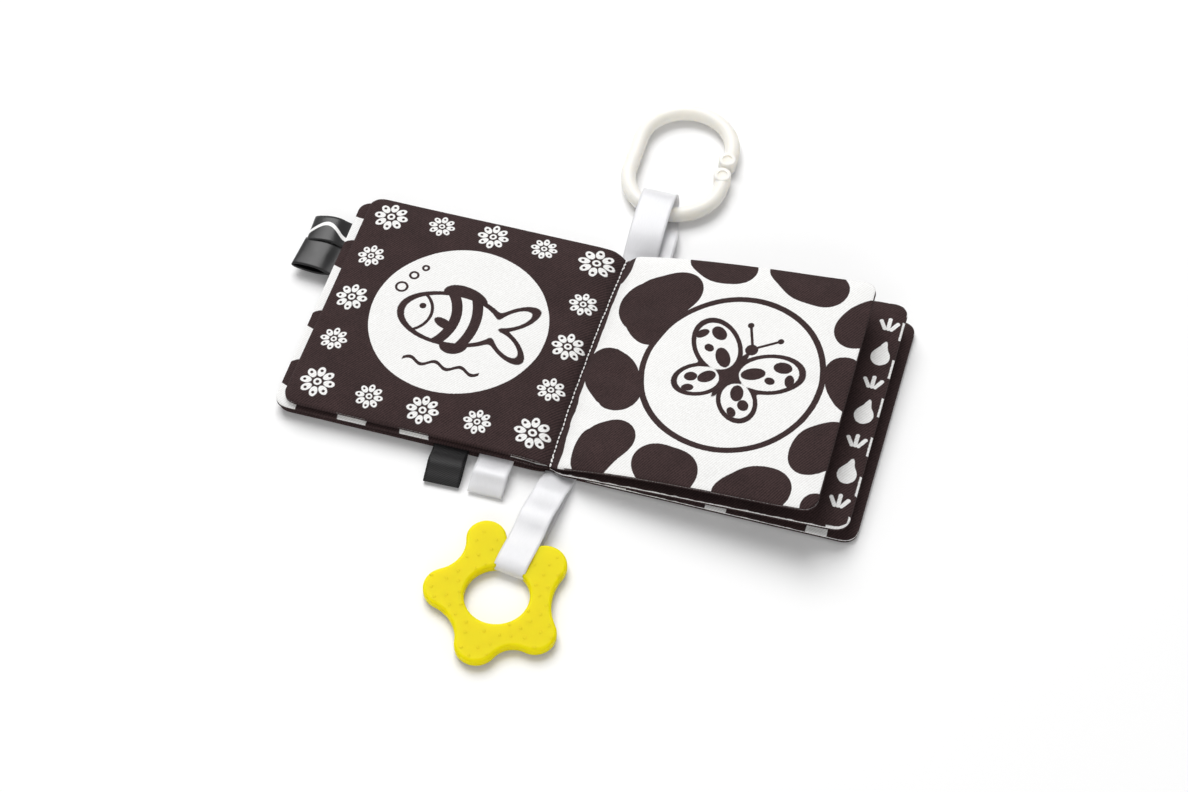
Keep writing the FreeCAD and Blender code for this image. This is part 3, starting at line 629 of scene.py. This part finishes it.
def folio(name, left, right, lie, thickness, seed):
    """A folio's closed mesh. lie gives the middle layer's place; thickness its half, by s."""
    s, v, ring = folio_grid(left, right)
    middle = lie(s, v)
    du = np.gradient(middle, axis=0)
    dv = np.gradient(middle, axis=1)
    # the first steps at the seam fold back on themselves, so their normals come from further in
    normal = np.cross(du, dv)
    for i in (2, 1, 0):
        normal[i] = normal[3]
        normal[-1 - i] = normal[-4]
    for j in (2, 1, 0):
        normal[:, j] = normal[:, 3]
        normal[:, -1 - j] = normal[:, -4]
    normal /= np.linalg.norm(normal, axis=-1, keepdims=True)
    heights = np.array([height for _, height in roll] + [1.0])
    rise = heights[np.minimum(ring, len(roll))]
    flat_place = np.stack([s, v], -1)
    puffed = (thickness(s, v) * rise)[..., None] * normal
    pushed = pushed_out(s, (middle + puffed, middle - puffed), normal)
    bodies = []
    for side, push in ((1, pushed[0]), (-1, pushed[1])):
        # wadding is never quite even, and the stitches pull small ripples out of the fold
        uneven = 0.16 * wave(flat_place, 24, seed + side) * np.clip(np.abs(s) / 12, 0.15, 1)
        ripple = 0.28 * wave(flat_place, 4.0, seed + 3 * side) * np.exp(-((s / 6) ** 2))
        body = middle + side * (puffed + ((uneven + ripple) * rise + push)[..., None] * normal)
        # it lies flat where it rests on the table
        body[..., 2] = np.maximum(body[..., 2], 0.0)
        bodies.append(body)
    count = s.shape
    index = np.arange(s.size).reshape(count)
    low = index + s.size
    low[ring == 0] = index[ring == 0]
    faces = []
    for i in range(count[0] - 1):
        for j in range(count[1] - 1):
            faces.append((index[i, j], index[i + 1, j], index[i + 1, j + 1], index[i, j + 1]))
            faces.append((low[i, j], low[i, j + 1], low[i + 1, j + 1], low[i + 1, j]))
    places = np.concatenate([body.reshape(-1, 3) for body in bodies]) * mm
    cloth = np.concatenate([np.stack([s, v, side * rise], -1).reshape(-1, 3) for side in (1, -1)])
    used = np.unique(np.array(faces))
    renumber = np.full(len(places), -1)
    renumber[used] = np.arange(len(used))
    mesh = bpy.data.meshes.new(name)
    mesh.from_pydata(places[used].tolist(), [], renumber[np.array(faces)].tolist())
    flat_map = mesh.attributes.new("cloth", "FLOAT_VECTOR", "POINT")
    flat_map.data.foreach_set("vector", cloth[used].astype(np.float32).ravel())
    mesh.shade_smooth()
    piece = bpy.data.objects.new(name, mesh)
    bpy.context.collection.objects.link(piece)
    finer = piece.modifiers.new("finer", "SUBSURF")
    finer.levels = finer.render_levels = 1
    return settled(piece)


def settled(piece):
    """The piece with its modifiers worked into a plain mesh."""
    graph = bpy.context.evaluated_depsgraph_get()
    mesh = bpy.data.meshes.new_from_object(piece.evaluated_get(graph))
    piece.modifiers.clear()
    piece.data = mesh
    return piece


def ease(x, low, high):
    """Rises smoothly from 0 at low to 1 at high."""
    t = np.clip((x - low) / (high - low), 0, 1)
    return t * t * (3 - 2 * t)


fold_middle = -1.3


def fold_x(v):
    """Where the stitched fold lies: it bows a little to the left and swings right at the head."""
    share = v / (leaf_height / 2)
    return -1.1 + 0.8 * share + 1.4 * share**2


def rolled(t):
    """A quarter round: rises steeply from 0, and is level at 1."""
    t = np.clip(t, 0, 1)
    return np.sqrt(1 - (1 - t) ** 2)


def stand(s, v, fold_z, left, right):
    """Places of a folio's middle layer, from how its two leaves lie.

    left: its width, level, width of its roll into the fold, turn and shift along the spine.
    right: its width, its four corners (spine tail, spine head, fore tail, fore head), how far
    it arches up near the spine, and the width of its rise from the fold."""
    width, level, roll_width, turn, shift = left
    share = np.clip(-s / width, 0, None)
    swing = (fold_x(v) - fold_middle) * np.exp(-((s / 18) ** 2))
    left_x = fold_middle + s + turn * v * share + swing
    left_y = v - turn * s + shift * share
    left_roll = roll_width * (1 + 1.3 * ease(np.abs(v), 42, leaf_height / 2))
    left_z = fold_z + (level - fold_z) * rolled(-s / left_roll)
    left_place = np.stack([left_x, left_y, left_z], -1)
    width, tail_near, head_near, tail_far, head_far, arch, rise_width = right
    along = (v / leaf_height + 0.5)[..., None]
    near = np.array(tail_near) * (1 - along) + np.array(head_near) * along
    far = np.array(tail_far) * (1 - along) + np.array(head_far) * along
    inset = near[..., 0] - fold_x(v)
    share = (s - inset) / (width - inset)
    flat = near + (far - near) * share[..., None]
    # highest a third of the way out, where 6.75 brings it to the arch's full height
    flat[..., 2] += arch * 6.75 * share * (1 - share) ** 2 * (share > 0) * (share < 1)
    opened = np.sin(0.5 * math.pi * np.clip(s / rise_width, 0, 1))
    right_z = fold_z + (flat[..., 2] - fold_z) * opened
    right_y = v + (flat[..., 1] - v) * ease(s, 0, 8)
    right_place = np.stack([flat[..., 0], right_y, right_z], -1)
    return np.where((s < 0)[..., None], left_place, right_place)


def inner_lie(s, v):
    """The inner folio: left page flat, right page sprung up."""
    left = (130, 9.6, 7.5, 0.012, -1.6)
    near = ((2.65, -65.8, 7.5), (5.1, 64.3, 8.7))
    far = ((125.3, -68.9, 27.6), (125.7, 60.9, 34.1))
    return stand(s, v, 4.7, left, (130, *near, *far, 2.9, 8.0))


def middle_lie(s, v):
    """The middle folio, right page raised a little."""
    left = (135.2, 5.7, 14.0, 0.0, -1.2)
    near = ((6.0, -66.5, 4.4), (6.0, 64.5, 4.6))
    far = ((140.3, -65.0, 11.4), (141.9, 65.8, 15.7))
    return stand(s, v, 2.8, left, (141, *near, *far, 0.6, 9.0))


def cover_lie(s, v):
    """The cover folio, flat on the table."""
    left = (134.5, 1.8, 14.0, 0.0, 0.0)
    near = ((6.0, -65.0, 1.8), (6.0, 65.0, 1.8))
    far = ((144.6, -64.2, 1.8), (146.6, 66.8, 1.8))
    return stand(s, v, 1.0, left, (145.5, *near, *far, 0.0, 10.0))


def pad_by(spine_half, gone):
    """Half thickness by place: thin at the spine, full from gone mm on either side."""

    def half(s, v):
        return spine_half + (padding - spine_half) * ease(np.abs(s), 1.5, gone)

    return half


inner = folio("inner_folio", 130.0, 130.0, inner_lie, pad_by(0.55, 8.0), 1)
middle = folio("middle_folio", 135.2, 141.0, middle_lie, pad_by(0.7, 12.0), 11)
cover = folio("cover_folio", 134.5, 145.5, cover_lie, pad_by(0.75, 16.0), 21)
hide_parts("left_inner_leaf", "right_inner_leaf", "sewn_fold")
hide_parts("left_middle_leaf", "right_middle_leaf", "middle_spine")
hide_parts("front_cover_leaf", "back_cover_leaf", "cover_spine")
drawings = {
    "fish": fish_page,
    "butterfly": butterfly_page,
    "patches": patches_page,
    "drops": drops_page,
    "stripes": stripes_page,
    "hills": hills_page,
    "flower": cover_page,
}
cloths = {}
for print_name, draw in drawings.items():
    cloths[print_name] = printed_cloth("printed_polyester_" + print_name, draw)
# pages in order: top left, top right, underside left, underside right
pages = {
    inner: ("fish", "butterfly", "patches", "drops"),
    middle: ("patches", "drops", "stripes", "stripes"),
    cover: ("stripes", "hills", "flower", "flower"),
}
# each folio gets a printed cloth on each of its four pages; the two places after it, in mm from the
# fold, are where it would bend as the cover closes
for piece, start, end in ((inner, -12, -2), (middle, -14, -1), (cover, -16, 1)):
    for print_name in pages[piece]:
        piece.data.materials.append(cloths[print_name])
    flat = np.zeros(len(piece.data.vertices) * 3, np.float32)
    piece.data.attributes["cloth"].data.foreach_get("vector", flat)
    flat = flat.reshape(-1, 3)
    for face in piece.data.polygons:
        place = flat[list(face.vertices)].mean(axis=0)
        face.material_index = (place[0] > 0) + 2 * (place[2] < 0)
    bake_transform(piece)

# ------------------------------------------------------------------ sewing
# One row of white lockstitch holds the three folios together down the fold, on top and
# underneath. Each stitch is a short stretch of cotton thread that dips into the cloth.


def new_group(name, start, sizes):
    """A Geometry Nodes tree that takes a geometry to start from and sizes, by name."""
    tree = bpy.data.node_groups.new(name, "GeometryNodeTree")
    tree.interface.new_socket(start, in_out="INPUT", socket_type="NodeSocketGeometry")
    for size in sizes:
        tree.interface.new_socket(size, in_out="INPUT", socket_type="NodeSocketFloat")
    tree.interface.new_socket("Made", in_out="OUTPUT", socket_type="NodeSocketGeometry")
    return tree


def set_out(tree, points, shape, material, **sockets):
    """Ends a tree: the shape stands at each point, as real faces of one material."""
    placed = add(tree, "GeometryNodeInstanceOnPoints", points)
    for socket, value in {"Instance": shape, **sockets}.items():
        tree.links.new(value, placed.node.inputs[socket])
    real = add(tree, "GeometryNodeRealizeInstances", placed)
    smooth = add(tree, "GeometryNodeSetShadeSmooth", real)
    done = add(tree, "GeometryNodeSetMaterial", smooth)
    done.node.inputs["Material"].default_value = material
    tree.links.new(done, tree.nodes.new("NodeGroupOutput").inputs[0])


def made(name, carrier, tree, sizes):
    """The plain mesh that a tree makes of its carrier, with these sizes in mm."""
    modifier = carrier.modifiers.new("made", "NODES")
    modifier.node_group = tree
    for size, value in sizes.items():
        modifier[tree.interface.items_tree[size].identifier] = value * mm
    graph = bpy.context.evaluated_depsgraph_get()
    mesh = bpy.data.meshes.new_from_object(carrier.evaluated_get(graph))
    bpy.data.objects.remove(carrier)
    piece = bpy.data.objects.new(name, mesh)
    bpy.context.collection.objects.link(piece)
    return piece


def stitch_row(name, route, pitch, thread):
    """A row of stitches along a route of (x, y, z) in mm, as one mesh."""
    line = bpy.data.curves.new(name, "CURVE")
    line.dimensions = "3D"
    spline = line.splines.new("POLY")
    spline.points.add(len(route) - 1)
    for point, place in zip(spline.points, route):
        point.co = (*(Vector(place) * mm), 1)
    piece = bpy.data.objects.new(name + "_line", line)
    bpy.context.collection.objects.link(piece)
    sizes = {"Pitch": pitch, "Stitch length": pitch * 0.86, "Thread": 0.74}
    tree = new_group(name, "Row", sizes)
    given = tree.nodes.new("NodeGroupInput").outputs
    points = add(tree, "GeometryNodeCurveToPoints", given[0], mode="LENGTH")
    tree.links.new(given["Pitch"], points.node.inputs["Length"])
    shape = add(tree, "GeometryNodeMeshIcoSphere", 1.0, 2)
    half = add(tree, "ShaderNodeMath", given["Thread"], 0.5, operation="MULTIPLY")
    long = add(tree, "ShaderNodeMath", given["Stitch length"], 0.5, operation="MULTIPLY")
    stitch_size = add(tree, "ShaderNodeCombineXYZ", half, half, long)
    # each stitch leans a little, its own way
    skew = add(tree, "FunctionNodeRandomValue", -0.09, 0.09, data_type="FLOAT")
    skew.node.inputs["Seed"].default_value = 4
    turn = add(tree, "FunctionNodeRotateRotation", points.node.outputs["Rotation"])
    lean = add(tree, "FunctionNodeEulerToRotation")
    lean_angles = add(tree, "ShaderNodeCombineXYZ", skew, 0.0, 0.0)
    tree.links.new(lean_angles, lean.node.inputs[0])
    turn.node.rotation_space = "LOCAL"
    tree.links.new(lean, turn.node.inputs[1])
    set_out(tree, points, shape, thread, Rotation=turn, Scale=stitch_size)
    return made(name, piece, tree, sizes)


# Spun cotton thread: matt and white, with a fine slanting twist.
thread, tree, shader = new_material("spun_cotton_thread", Roughness=0.85)
place = add(tree, "ShaderNodeTexCoord").node.outputs["Object"]
twist = add(tree, "ShaderNodeVectorMath", place, (1.0, 1.0, 0.6), operation="MULTIPLY")
fuzz = add(tree, "ShaderNodeTexNoise", twist, 3000.0, 2.0, 0.6)
tint = add(tree, "ShaderNodeMix", fuzz, linear("#ECEAE6"), linear("#FFFFFF"), data_type="RGBA")
tree.links.new(tint, shader.inputs["Base Color"])
tree.links.new(add(tree, "ShaderNodeBump", 0.4, 0.0001, None, fuzz), shader.inputs["Normal"])


def laid_on(piece, line, over):
    """Lays (x, y) places down on a piece, in mm, a little over its cloth."""
    corners = [vertex.co for vertex in piece.data.vertices]
    cloth = BVHTree.FromPolygons(corners, [face.vertices for face in piece.data.polygons])
    places = []
    for x, y in line:
        hit = cloth.ray_cast(Vector((x, y, 60)) * mm, (0, 0, -1))[0]
        places.append((x, y, hit.z / mm + over))
    return places


# the row wavers a little to either side of the fold
row_end = 63.0
fold_run = []
for y in np.arange(-row_end, row_end + 0.1, 1.5):
    waver = 0.15 + 0.3 * noise.noise(Vector((y / 9, 0, 2)))
    fold_run.append((fold_x(y) + waver, y))
top_row = stitch_row("fold_stitches_top", laid_on(inner, fold_run, 0.16), 2.6, thread)
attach(top_row, "book")
low_route = [(fold_x(y), y, 0.33) for y in np.arange(-row_end, row_end + 0.1, 3)]
low_row = stitch_row("fold_stitches_under", low_route, 2.6, thread)
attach(low_row, "book")

# Each end of the row is sewn back over itself.
for name, side in (("tail_tack", -1), ("head_tack", 1)):
    tack = [(fold_x(side * y) + 0.4, side * y) for y in (58.8, 60.2, 61.6, row_end)]
    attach(stitch_row(name, laid_on(inner, tack, 0.3), 1.7, thread), "book")

# ------------------------------------------------------------------ ribbons
# Every strap and tab is a loop of woven ribbon whose two ends are caught in a seam. Satin is
# smooth and shows soft bands of shine across it; the ribbed tab is grosgrain.

ribbon_thickness = 0.35


def ribbon(name, weave, width, run, seam, shift=None):
    """A loop of ribbon. run is its middle line as (out, up) in mm from its seam, whose place is
    (x, y, turn in degrees); shift moves it across, by the share of its length."""
    line = bpy.data.curves.new(name, "CURVE")
    line.dimensions = "3D"
    spline = line.splines.new("NURBS")
    spline.points.add(len(run) - 1)
    for point, (out, up) in zip(spline.points, run):
        point.co = (out, 0, up, 1)
    spline.order_u = 3
    spline.use_endpoint_u = True
    line.resolution_u = 8
    guide = bpy.data.objects.new(name + "_guide", line)
    path = bpy.data.meshes.new_from_object(guide)
    points = np.array([vertex.co for vertex in path.vertices])
    bpy.data.objects.remove(guide)
    steps = np.linalg.norm(np.diff(points, axis=0), axis=1)
    length = np.concatenate([[0], np.cumsum(steps)])
    columns = np.linspace(-width / 2, width / 2, 13)
    x0, y0, turn = seam
    angle = math.radians(turn)
    away = np.array([math.cos(angle), math.sin(angle)])
    across = np.array([-math.sin(angle), math.cos(angle)])
    vertices, flat = [], []
    for point, run_length in zip(points, length):
        share = run_length / length[-1]
        moved = shift(share) if shift else 0.0
        for column in columns:
            place = np.array([x0, y0]) + away * point[0] + across * (column + moved)
            vertices.append((place[0] * mm, place[1] * mm, point[2] * mm))
            flat.append((column, run_length, 0))
    count = len(columns)
    faces = []
    for i in range(len(points) - 1):
        for j in range(count - 1):
            k = i * count + j
            faces.append((k, k + 1, k + count + 1, k + count))
    mesh = bpy.data.meshes.new(name)
    mesh.from_pydata(vertices, [], faces)
    flat_map = mesh.attributes.new("cloth", "FLOAT_VECTOR", "POINT")
    flat_map.data.foreach_set("vector", np.array(flat, np.float32).ravel())
    mesh.shade_smooth()
    piece = bpy.data.objects.new(name, mesh)
    bpy.context.collection.objects.link(piece)
    solid = piece.modifiers.new("thick", "SOLIDIFY")
    solid.thickness = ribbon_thickness * mm
    solid.offset = 0
    settled(piece).data.materials.append(weave)
    return piece


# Satin: polyester floats lie along the ribbon, so that its shine spreads across it.
def satin_weave(name, dark, light, **finish):
    """A satin's material, its tree and shader, the flat places on it and its colour."""
    material, tree, shader = new_material(name, Anisotropic=0.6, **finish)
    flat = add(tree, "ShaderNodeAttribute", attribute_name="cloth").node.outputs["Vector"]
    floats = add(tree, "ShaderNodeVectorMath", flat, (3.2, 0.25, 1.0), operation="MULTIPLY")
    threads = add(tree, "ShaderNodeTexNoise", floats, 1.0, 2.0, 0.5)
    tint = add(tree, "ShaderNodeMix", threads, linear(dark), linear(light), data_type="RGBA")
    tree.links.new(tint, shader.inputs["Base Color"])
    bump = add(tree, "ShaderNodeBump", 0.15, 0.0001, None, threads)
    tree.links.new(bump, shader.inputs["Normal"])
    return material, tree, shader, flat, tint


# the white one lets a little light through, as thin white ribbon does
white_finish = {
    "Roughness": 0.32,
    "Specular_IOR_Level": 0.5,
    "Sheen_Weight": 0.1,
    "Subsurface_Weight": 0.5,
    "Subsurface_Radius": (0.001, 0.001, 0.001),
    "Subsurface_Scale": 1.0,
}
satin, *_ = satin_weave("white_polyester_satin", "#DEDEE1", "#E9E9EC", **white_finish)
black_finish = {"Roughness": 0.31, "Specular_IOR_Level": 0.34}
black_satin, *_ = satin_weave("black_polyester_satin", "#070607", "#111011", **black_finish)

# The striped one has a white wave woven along it, 23 mm long and 3 mm to either side.
wave_name = "black_satin_with_white_wave"
wave_satin, tree, shader, flat, tint = satin_weave(wave_name, "#070607", "#111011", **black_finish)
parts = add(tree, "ShaderNodeSeparateXYZ", flat).node.outputs
swing = add(tree, "ShaderNodeMath", parts[1], 2 * math.pi / 23, -3.4, operation="MULTIPLY_ADD")
swing = add(tree, "ShaderNodeMath", swing, operation="COSINE")
swing = add(tree, "ShaderNodeMath", swing, 3.0, parts[0], operation="MULTIPLY_ADD")
stripe = add(tree, "ShaderNodeMath", swing, operation="ABSOLUTE")
stripe = add(tree, "ShaderNodeMapRange", stripe, 1.05, 1.25, 1.0, 0.0)
tint = add(tree, "ShaderNodeMix", stripe, tint, linear("#F2F1F0"), data_type="RGBA")
tree.links.new(tint, shader.inputs["Base Color"])

# Grosgrain: fine slanting ribs across the ribbon, 0.45 mm apart, drawn at 0.9 mm to show.
grosgrain, tree, shader = new_material("black_grosgrain", Roughness=0.4, Specular_IOR_Level=0.2)
flat = add(tree, "ShaderNodeAttribute", attribute_name="cloth").node.outputs["Vector"]
rib = add(tree, "ShaderNodeVectorMath", flat, (4.5, 5.4, 0.0), operation="DOT_PRODUCT")
rib = add(tree, "ShaderNodeMath", rib, operation="SINE")
# painted shade: the rib crests are painted lighter and the hollows darker
rib_painted_shade = add(tree, "ShaderNodeMapRange", rib, -1.0, 1.0, 0.0, 1.0)
tint = add(tree, "ShaderNodeMix", rib_painted_shade, linear("#020202"), linear("#222122"), data_type="RGBA")
tree.links.new(tint, shader.inputs["Base Color"])
tree.links.new(add(tree, "ShaderNodeBump", 0.5, 0.0001, None, rib), shader.inputs["Normal"])

# The link ring's strap: out of the head end of the spine, over the bar, round and back under.
over_bar = [(-2, 4.0), (2, 4.8), (7, 7.8), (12, 10.4), (18, 11.9), (26, 12.9), (33, 13.3)]
over_bar += [(38.5, 12.7), (42.5, 10.6), (44.6, 8.0), (45.2, 5.0)]
back_under = [(45.2, 2.4), (43, 0.6), (38, 0.5), (31, 0.5), (27.5, 1.0), (23.5, 4.6), (18, 5.8)]
back_under += [(10, 4.6), (3, 3.6), (-2, 3.2)]


def fan_out(share):
    """The lower layer runs back beside the upper one, further and further over."""
    return -6.4 * ease(share, 0.45, 0.85)


ring_loop = over_bar + back_under
ring_strap = ribbon("ring_strap_satin", satin, 17.2, ring_loop, (7.1, 65.0, 90.6), shift=fan_out)
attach(ring_strap, "book")
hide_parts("ring_strap")

# The chewing ring's strap: out of the tail end, over the rim, down through the hole and back.
over_rim = [(-2, 1.2), (2, 1.9), (7, 4.2), (11, 5.7), (15, 6.0), (19, 6.7), (23, 7.8)]
over_rim += [(27, 8.4), (31, 7.9), (35, 6.7), (39, 6.1), (43, 6.1), (47, 6.6), (51, 6.9), (54, 6.8)]
through = [(58.0, 5.9), (59.1, 3.6), (57.6, 0.7), (50, 0.4), (30, 0.4), (8, 0.5), (-2, 0.8)]
teether_loop = over_rim + through
teether_strap = ribbon("teether_strap_satin", satin, 15.2, teether_loop, (5.0, -65.0, -97))
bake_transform(teether_strap)
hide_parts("teether_strap")

# Tabs in the tail seam of the middle folio: they droop to the table and fold there.
droop = [(-1.5, 4.7), (1.5, 4.6), (4.5, 4.7), (8, 6.0), (11, 6.2), (14, 4.4), (17.4, 3.2)]
droop += [(19.8, 1.7), (18.6, 0.5), (14.5, 0.6), (9, 2.6), (3, 4.0), (-1.5, 4.4)]
satin_tab = ribbon("satin_tab_white", satin, 16.6, droop, (-25.8, -65.0, -90.0))
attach(satin_tab, "front_half")
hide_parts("satin_tab")
grosgrain_tab = ribbon("grosgrain_tab_black", grosgrain, 17.0, droop, (-47.8, -65.0, -88.0))
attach(grosgrain_tab, "front_half")
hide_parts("grosgrain_tab")

# Two tabs side by side in the fore edge, each a springy loop with open sides.
bulge = [(-1.5, 5.9), (1.5, 6.6), (5, 8.8), (9.5, 9.3), (14, 8.6), (18, 7.3), (19.0, 5.8)]
bulge += [(18.2, 4.0), (14, 3.1), (9, 2.9), (4, 3.6), (1.5, 5.2), (-1.5, 5.6)]
striped_tab = ribbon("striped_tab_black", wave_satin, 15.8, bulge, (-136.5, 40.6, 183))
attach(striped_tab, "front_half")
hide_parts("striped_tab")
# the lower one reaches a little further and is flatter, to tuck in under the upper one
caught_at = 5.9
tucked = [(1.06 * out, caught_at + 0.76 * (up - caught_at)) for out, up in bulge]
wide_tab = ribbon("wide_tab_black", black_satin, 17.4, tucked, (-136.5, 23.6, 176))
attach(wide_tab, "front_half")
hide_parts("wide_tab")

# ------------------------------------------------------------------ link ring
# An open C of moulded ivory polypropylene with a dished knob on each end. Its satin gloss is
# broken by a faint parting line and by long shallow ripples from the mould.
ivory, tree, shader = new_material(
    "moulded_ivory_polypropylene",
    Roughness=0.4,
    IOR=1.49,
    Specular_IOR_Level=0.4,
    Subsurface_Weight=0.85,
    Subsurface_Radius=(0.007, 0.0065, 0.0055),
    Subsurface_Scale=1.0,
)
place = add(tree, "ShaderNodeTexCoord").node.outputs["Object"]
cloud = add(tree, "ShaderNodeTexNoise", place, 60.0, 2.0, 0.5)
tint = add(tree, "ShaderNodeMix", cloud, linear("#EFEBE3"), linear("#F5F2EB"), data_type="RGBA")
tree.links.new(tint, shader.inputs["Base Color"])
parting = 4.7 * mm
up = add(tree, "ShaderNodeSeparateXYZ", place).node.outputs[2]
seam = add(tree, "ShaderNodeMath", up, -parting, operation="ADD")
seam = add(tree, "ShaderNodeMath", seam, operation="ABSOLUTE")
seam = add(tree, "ShaderNodeMapRange", seam, 0.0, 0.0003, 1.0, 0.0)
ripple = add(tree, "ShaderNodeTexNoise", place, 260.0, 1.0, 0.4)
height = add(tree, "ShaderNodeMath", seam, 0.6, ripple, operation="MULTIPLY_ADD")
tree.links.new(add(tree, "ShaderNodeBump", 0.25, 0.0002, None, height), shader.inputs["Normal"])
for slot in bpy.data.objects["link_ring"].material_slots:
    slot.material = ivory

# ------------------------------------------------------------------ chewing ring
# Soft clear-yellow elastomer, moulded in one piece: light travels some way into it, and its
# flat face is covered with small raised dots for the gums.
rubber, tree, shader = new_material(
    "translucent_yellow_elastomer",
    Roughness=0.5,
    IOR=1.42,
    Specular_IOR_Level=0.15,
    Subsurface_Weight=0.8,
    Subsurface_Radius=(0.008, 0.007, 0.0008),
    Subsurface_Scale=1.0,
)
place = add(tree, "ShaderNodeTexCoord").node.outputs["Object"]
cloud = add(tree, "ShaderNodeTexNoise", place, 35.0, 2.0, 0.5)
tint = add(tree, "ShaderNodeMix", cloud, linear("#EED800"), linear("#F3DF06"), data_type="RGBA")
# painted shade: its foot, where least light gets through, is painted a little darker
up = add(tree, "ShaderNodeSeparateXYZ", place).node.outputs[2]
painted_foot_shade = add(tree, "ShaderNodeMapRange", up, 0.0012, 0.0021, 1.0, 0.0)
tint = add(tree, "ShaderNodeMix", painted_foot_shade, tint, linear("#B8A400"), data_type="RGBA")
tree.links.new(tint, shader.inputs["Base Color"])
chewing_ring = bpy.data.objects["teether"]
for slot in chewing_ring.material_slots:
    slot.material = rubber

# The dots: low domes 1.4 mm across, scattered over the flat top about 5 mm apart. They are too
# small for light to travel in, so they have the ring's colour on their surface.
dot_finish = {"Roughness": 0.6, "Specular_IOR_Level": 0.15}
dot_rubber, tree, shader = new_material("yellow_elastomer_dots", **dot_finish)
place = add(tree, "ShaderNodeTexCoord").node.outputs["Object"]
speck = add(tree, "ShaderNodeTexNoise", place, 400.0)
tint = add(tree, "ShaderNodeMix", speck, linear("#EAD40C"), linear("#EFDB18"), data_type="RGBA")
tree.links.new(tint, shader.inputs["Base Color"])
sizes = {"Spacing": 5.0, "Radius": 0.7, "Height": 0.15}
tree = new_group("gum_dots", "Ring", sizes)
given = tree.nodes.new("NodeGroupInput").outputs
facing = add(tree, "ShaderNodeSeparateXYZ", add(tree, "GeometryNodeInputNormal")).node.outputs[2]
on_top = add(tree, "ShaderNodeMath", facing, 0.995, operation="GREATER_THAN")
scattered = tree.nodes.new("GeometryNodeDistributePointsOnFaces")
scattered.distribute_method = "POISSON"
tree.links.new(given[0], scattered.inputs["Mesh"])
tree.links.new(on_top, scattered.inputs["Selection"])
tree.links.new(given["Spacing"], scattered.inputs["Distance Min"])
scattered.inputs["Density Max"].default_value = 200000.0
scattered.inputs["Seed"].default_value = 5
dome = add(tree, "GeometryNodeMeshUVSphere", 12, 6, 1.0)
dome_size = add(tree, "ShaderNodeCombineXYZ", given["Radius"], given["Radius"], given["Height"])
set_out(tree, scattered.outputs["Points"], dome, dot_rubber, Scale=dome_size)
carrier = bpy.data.objects.new("dots_carrier", chewing_ring.data.copy())
bpy.context.collection.objects.link(carrier)
dots = made("gum_dots", carrier, tree, sizes)
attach(dots, "teether")
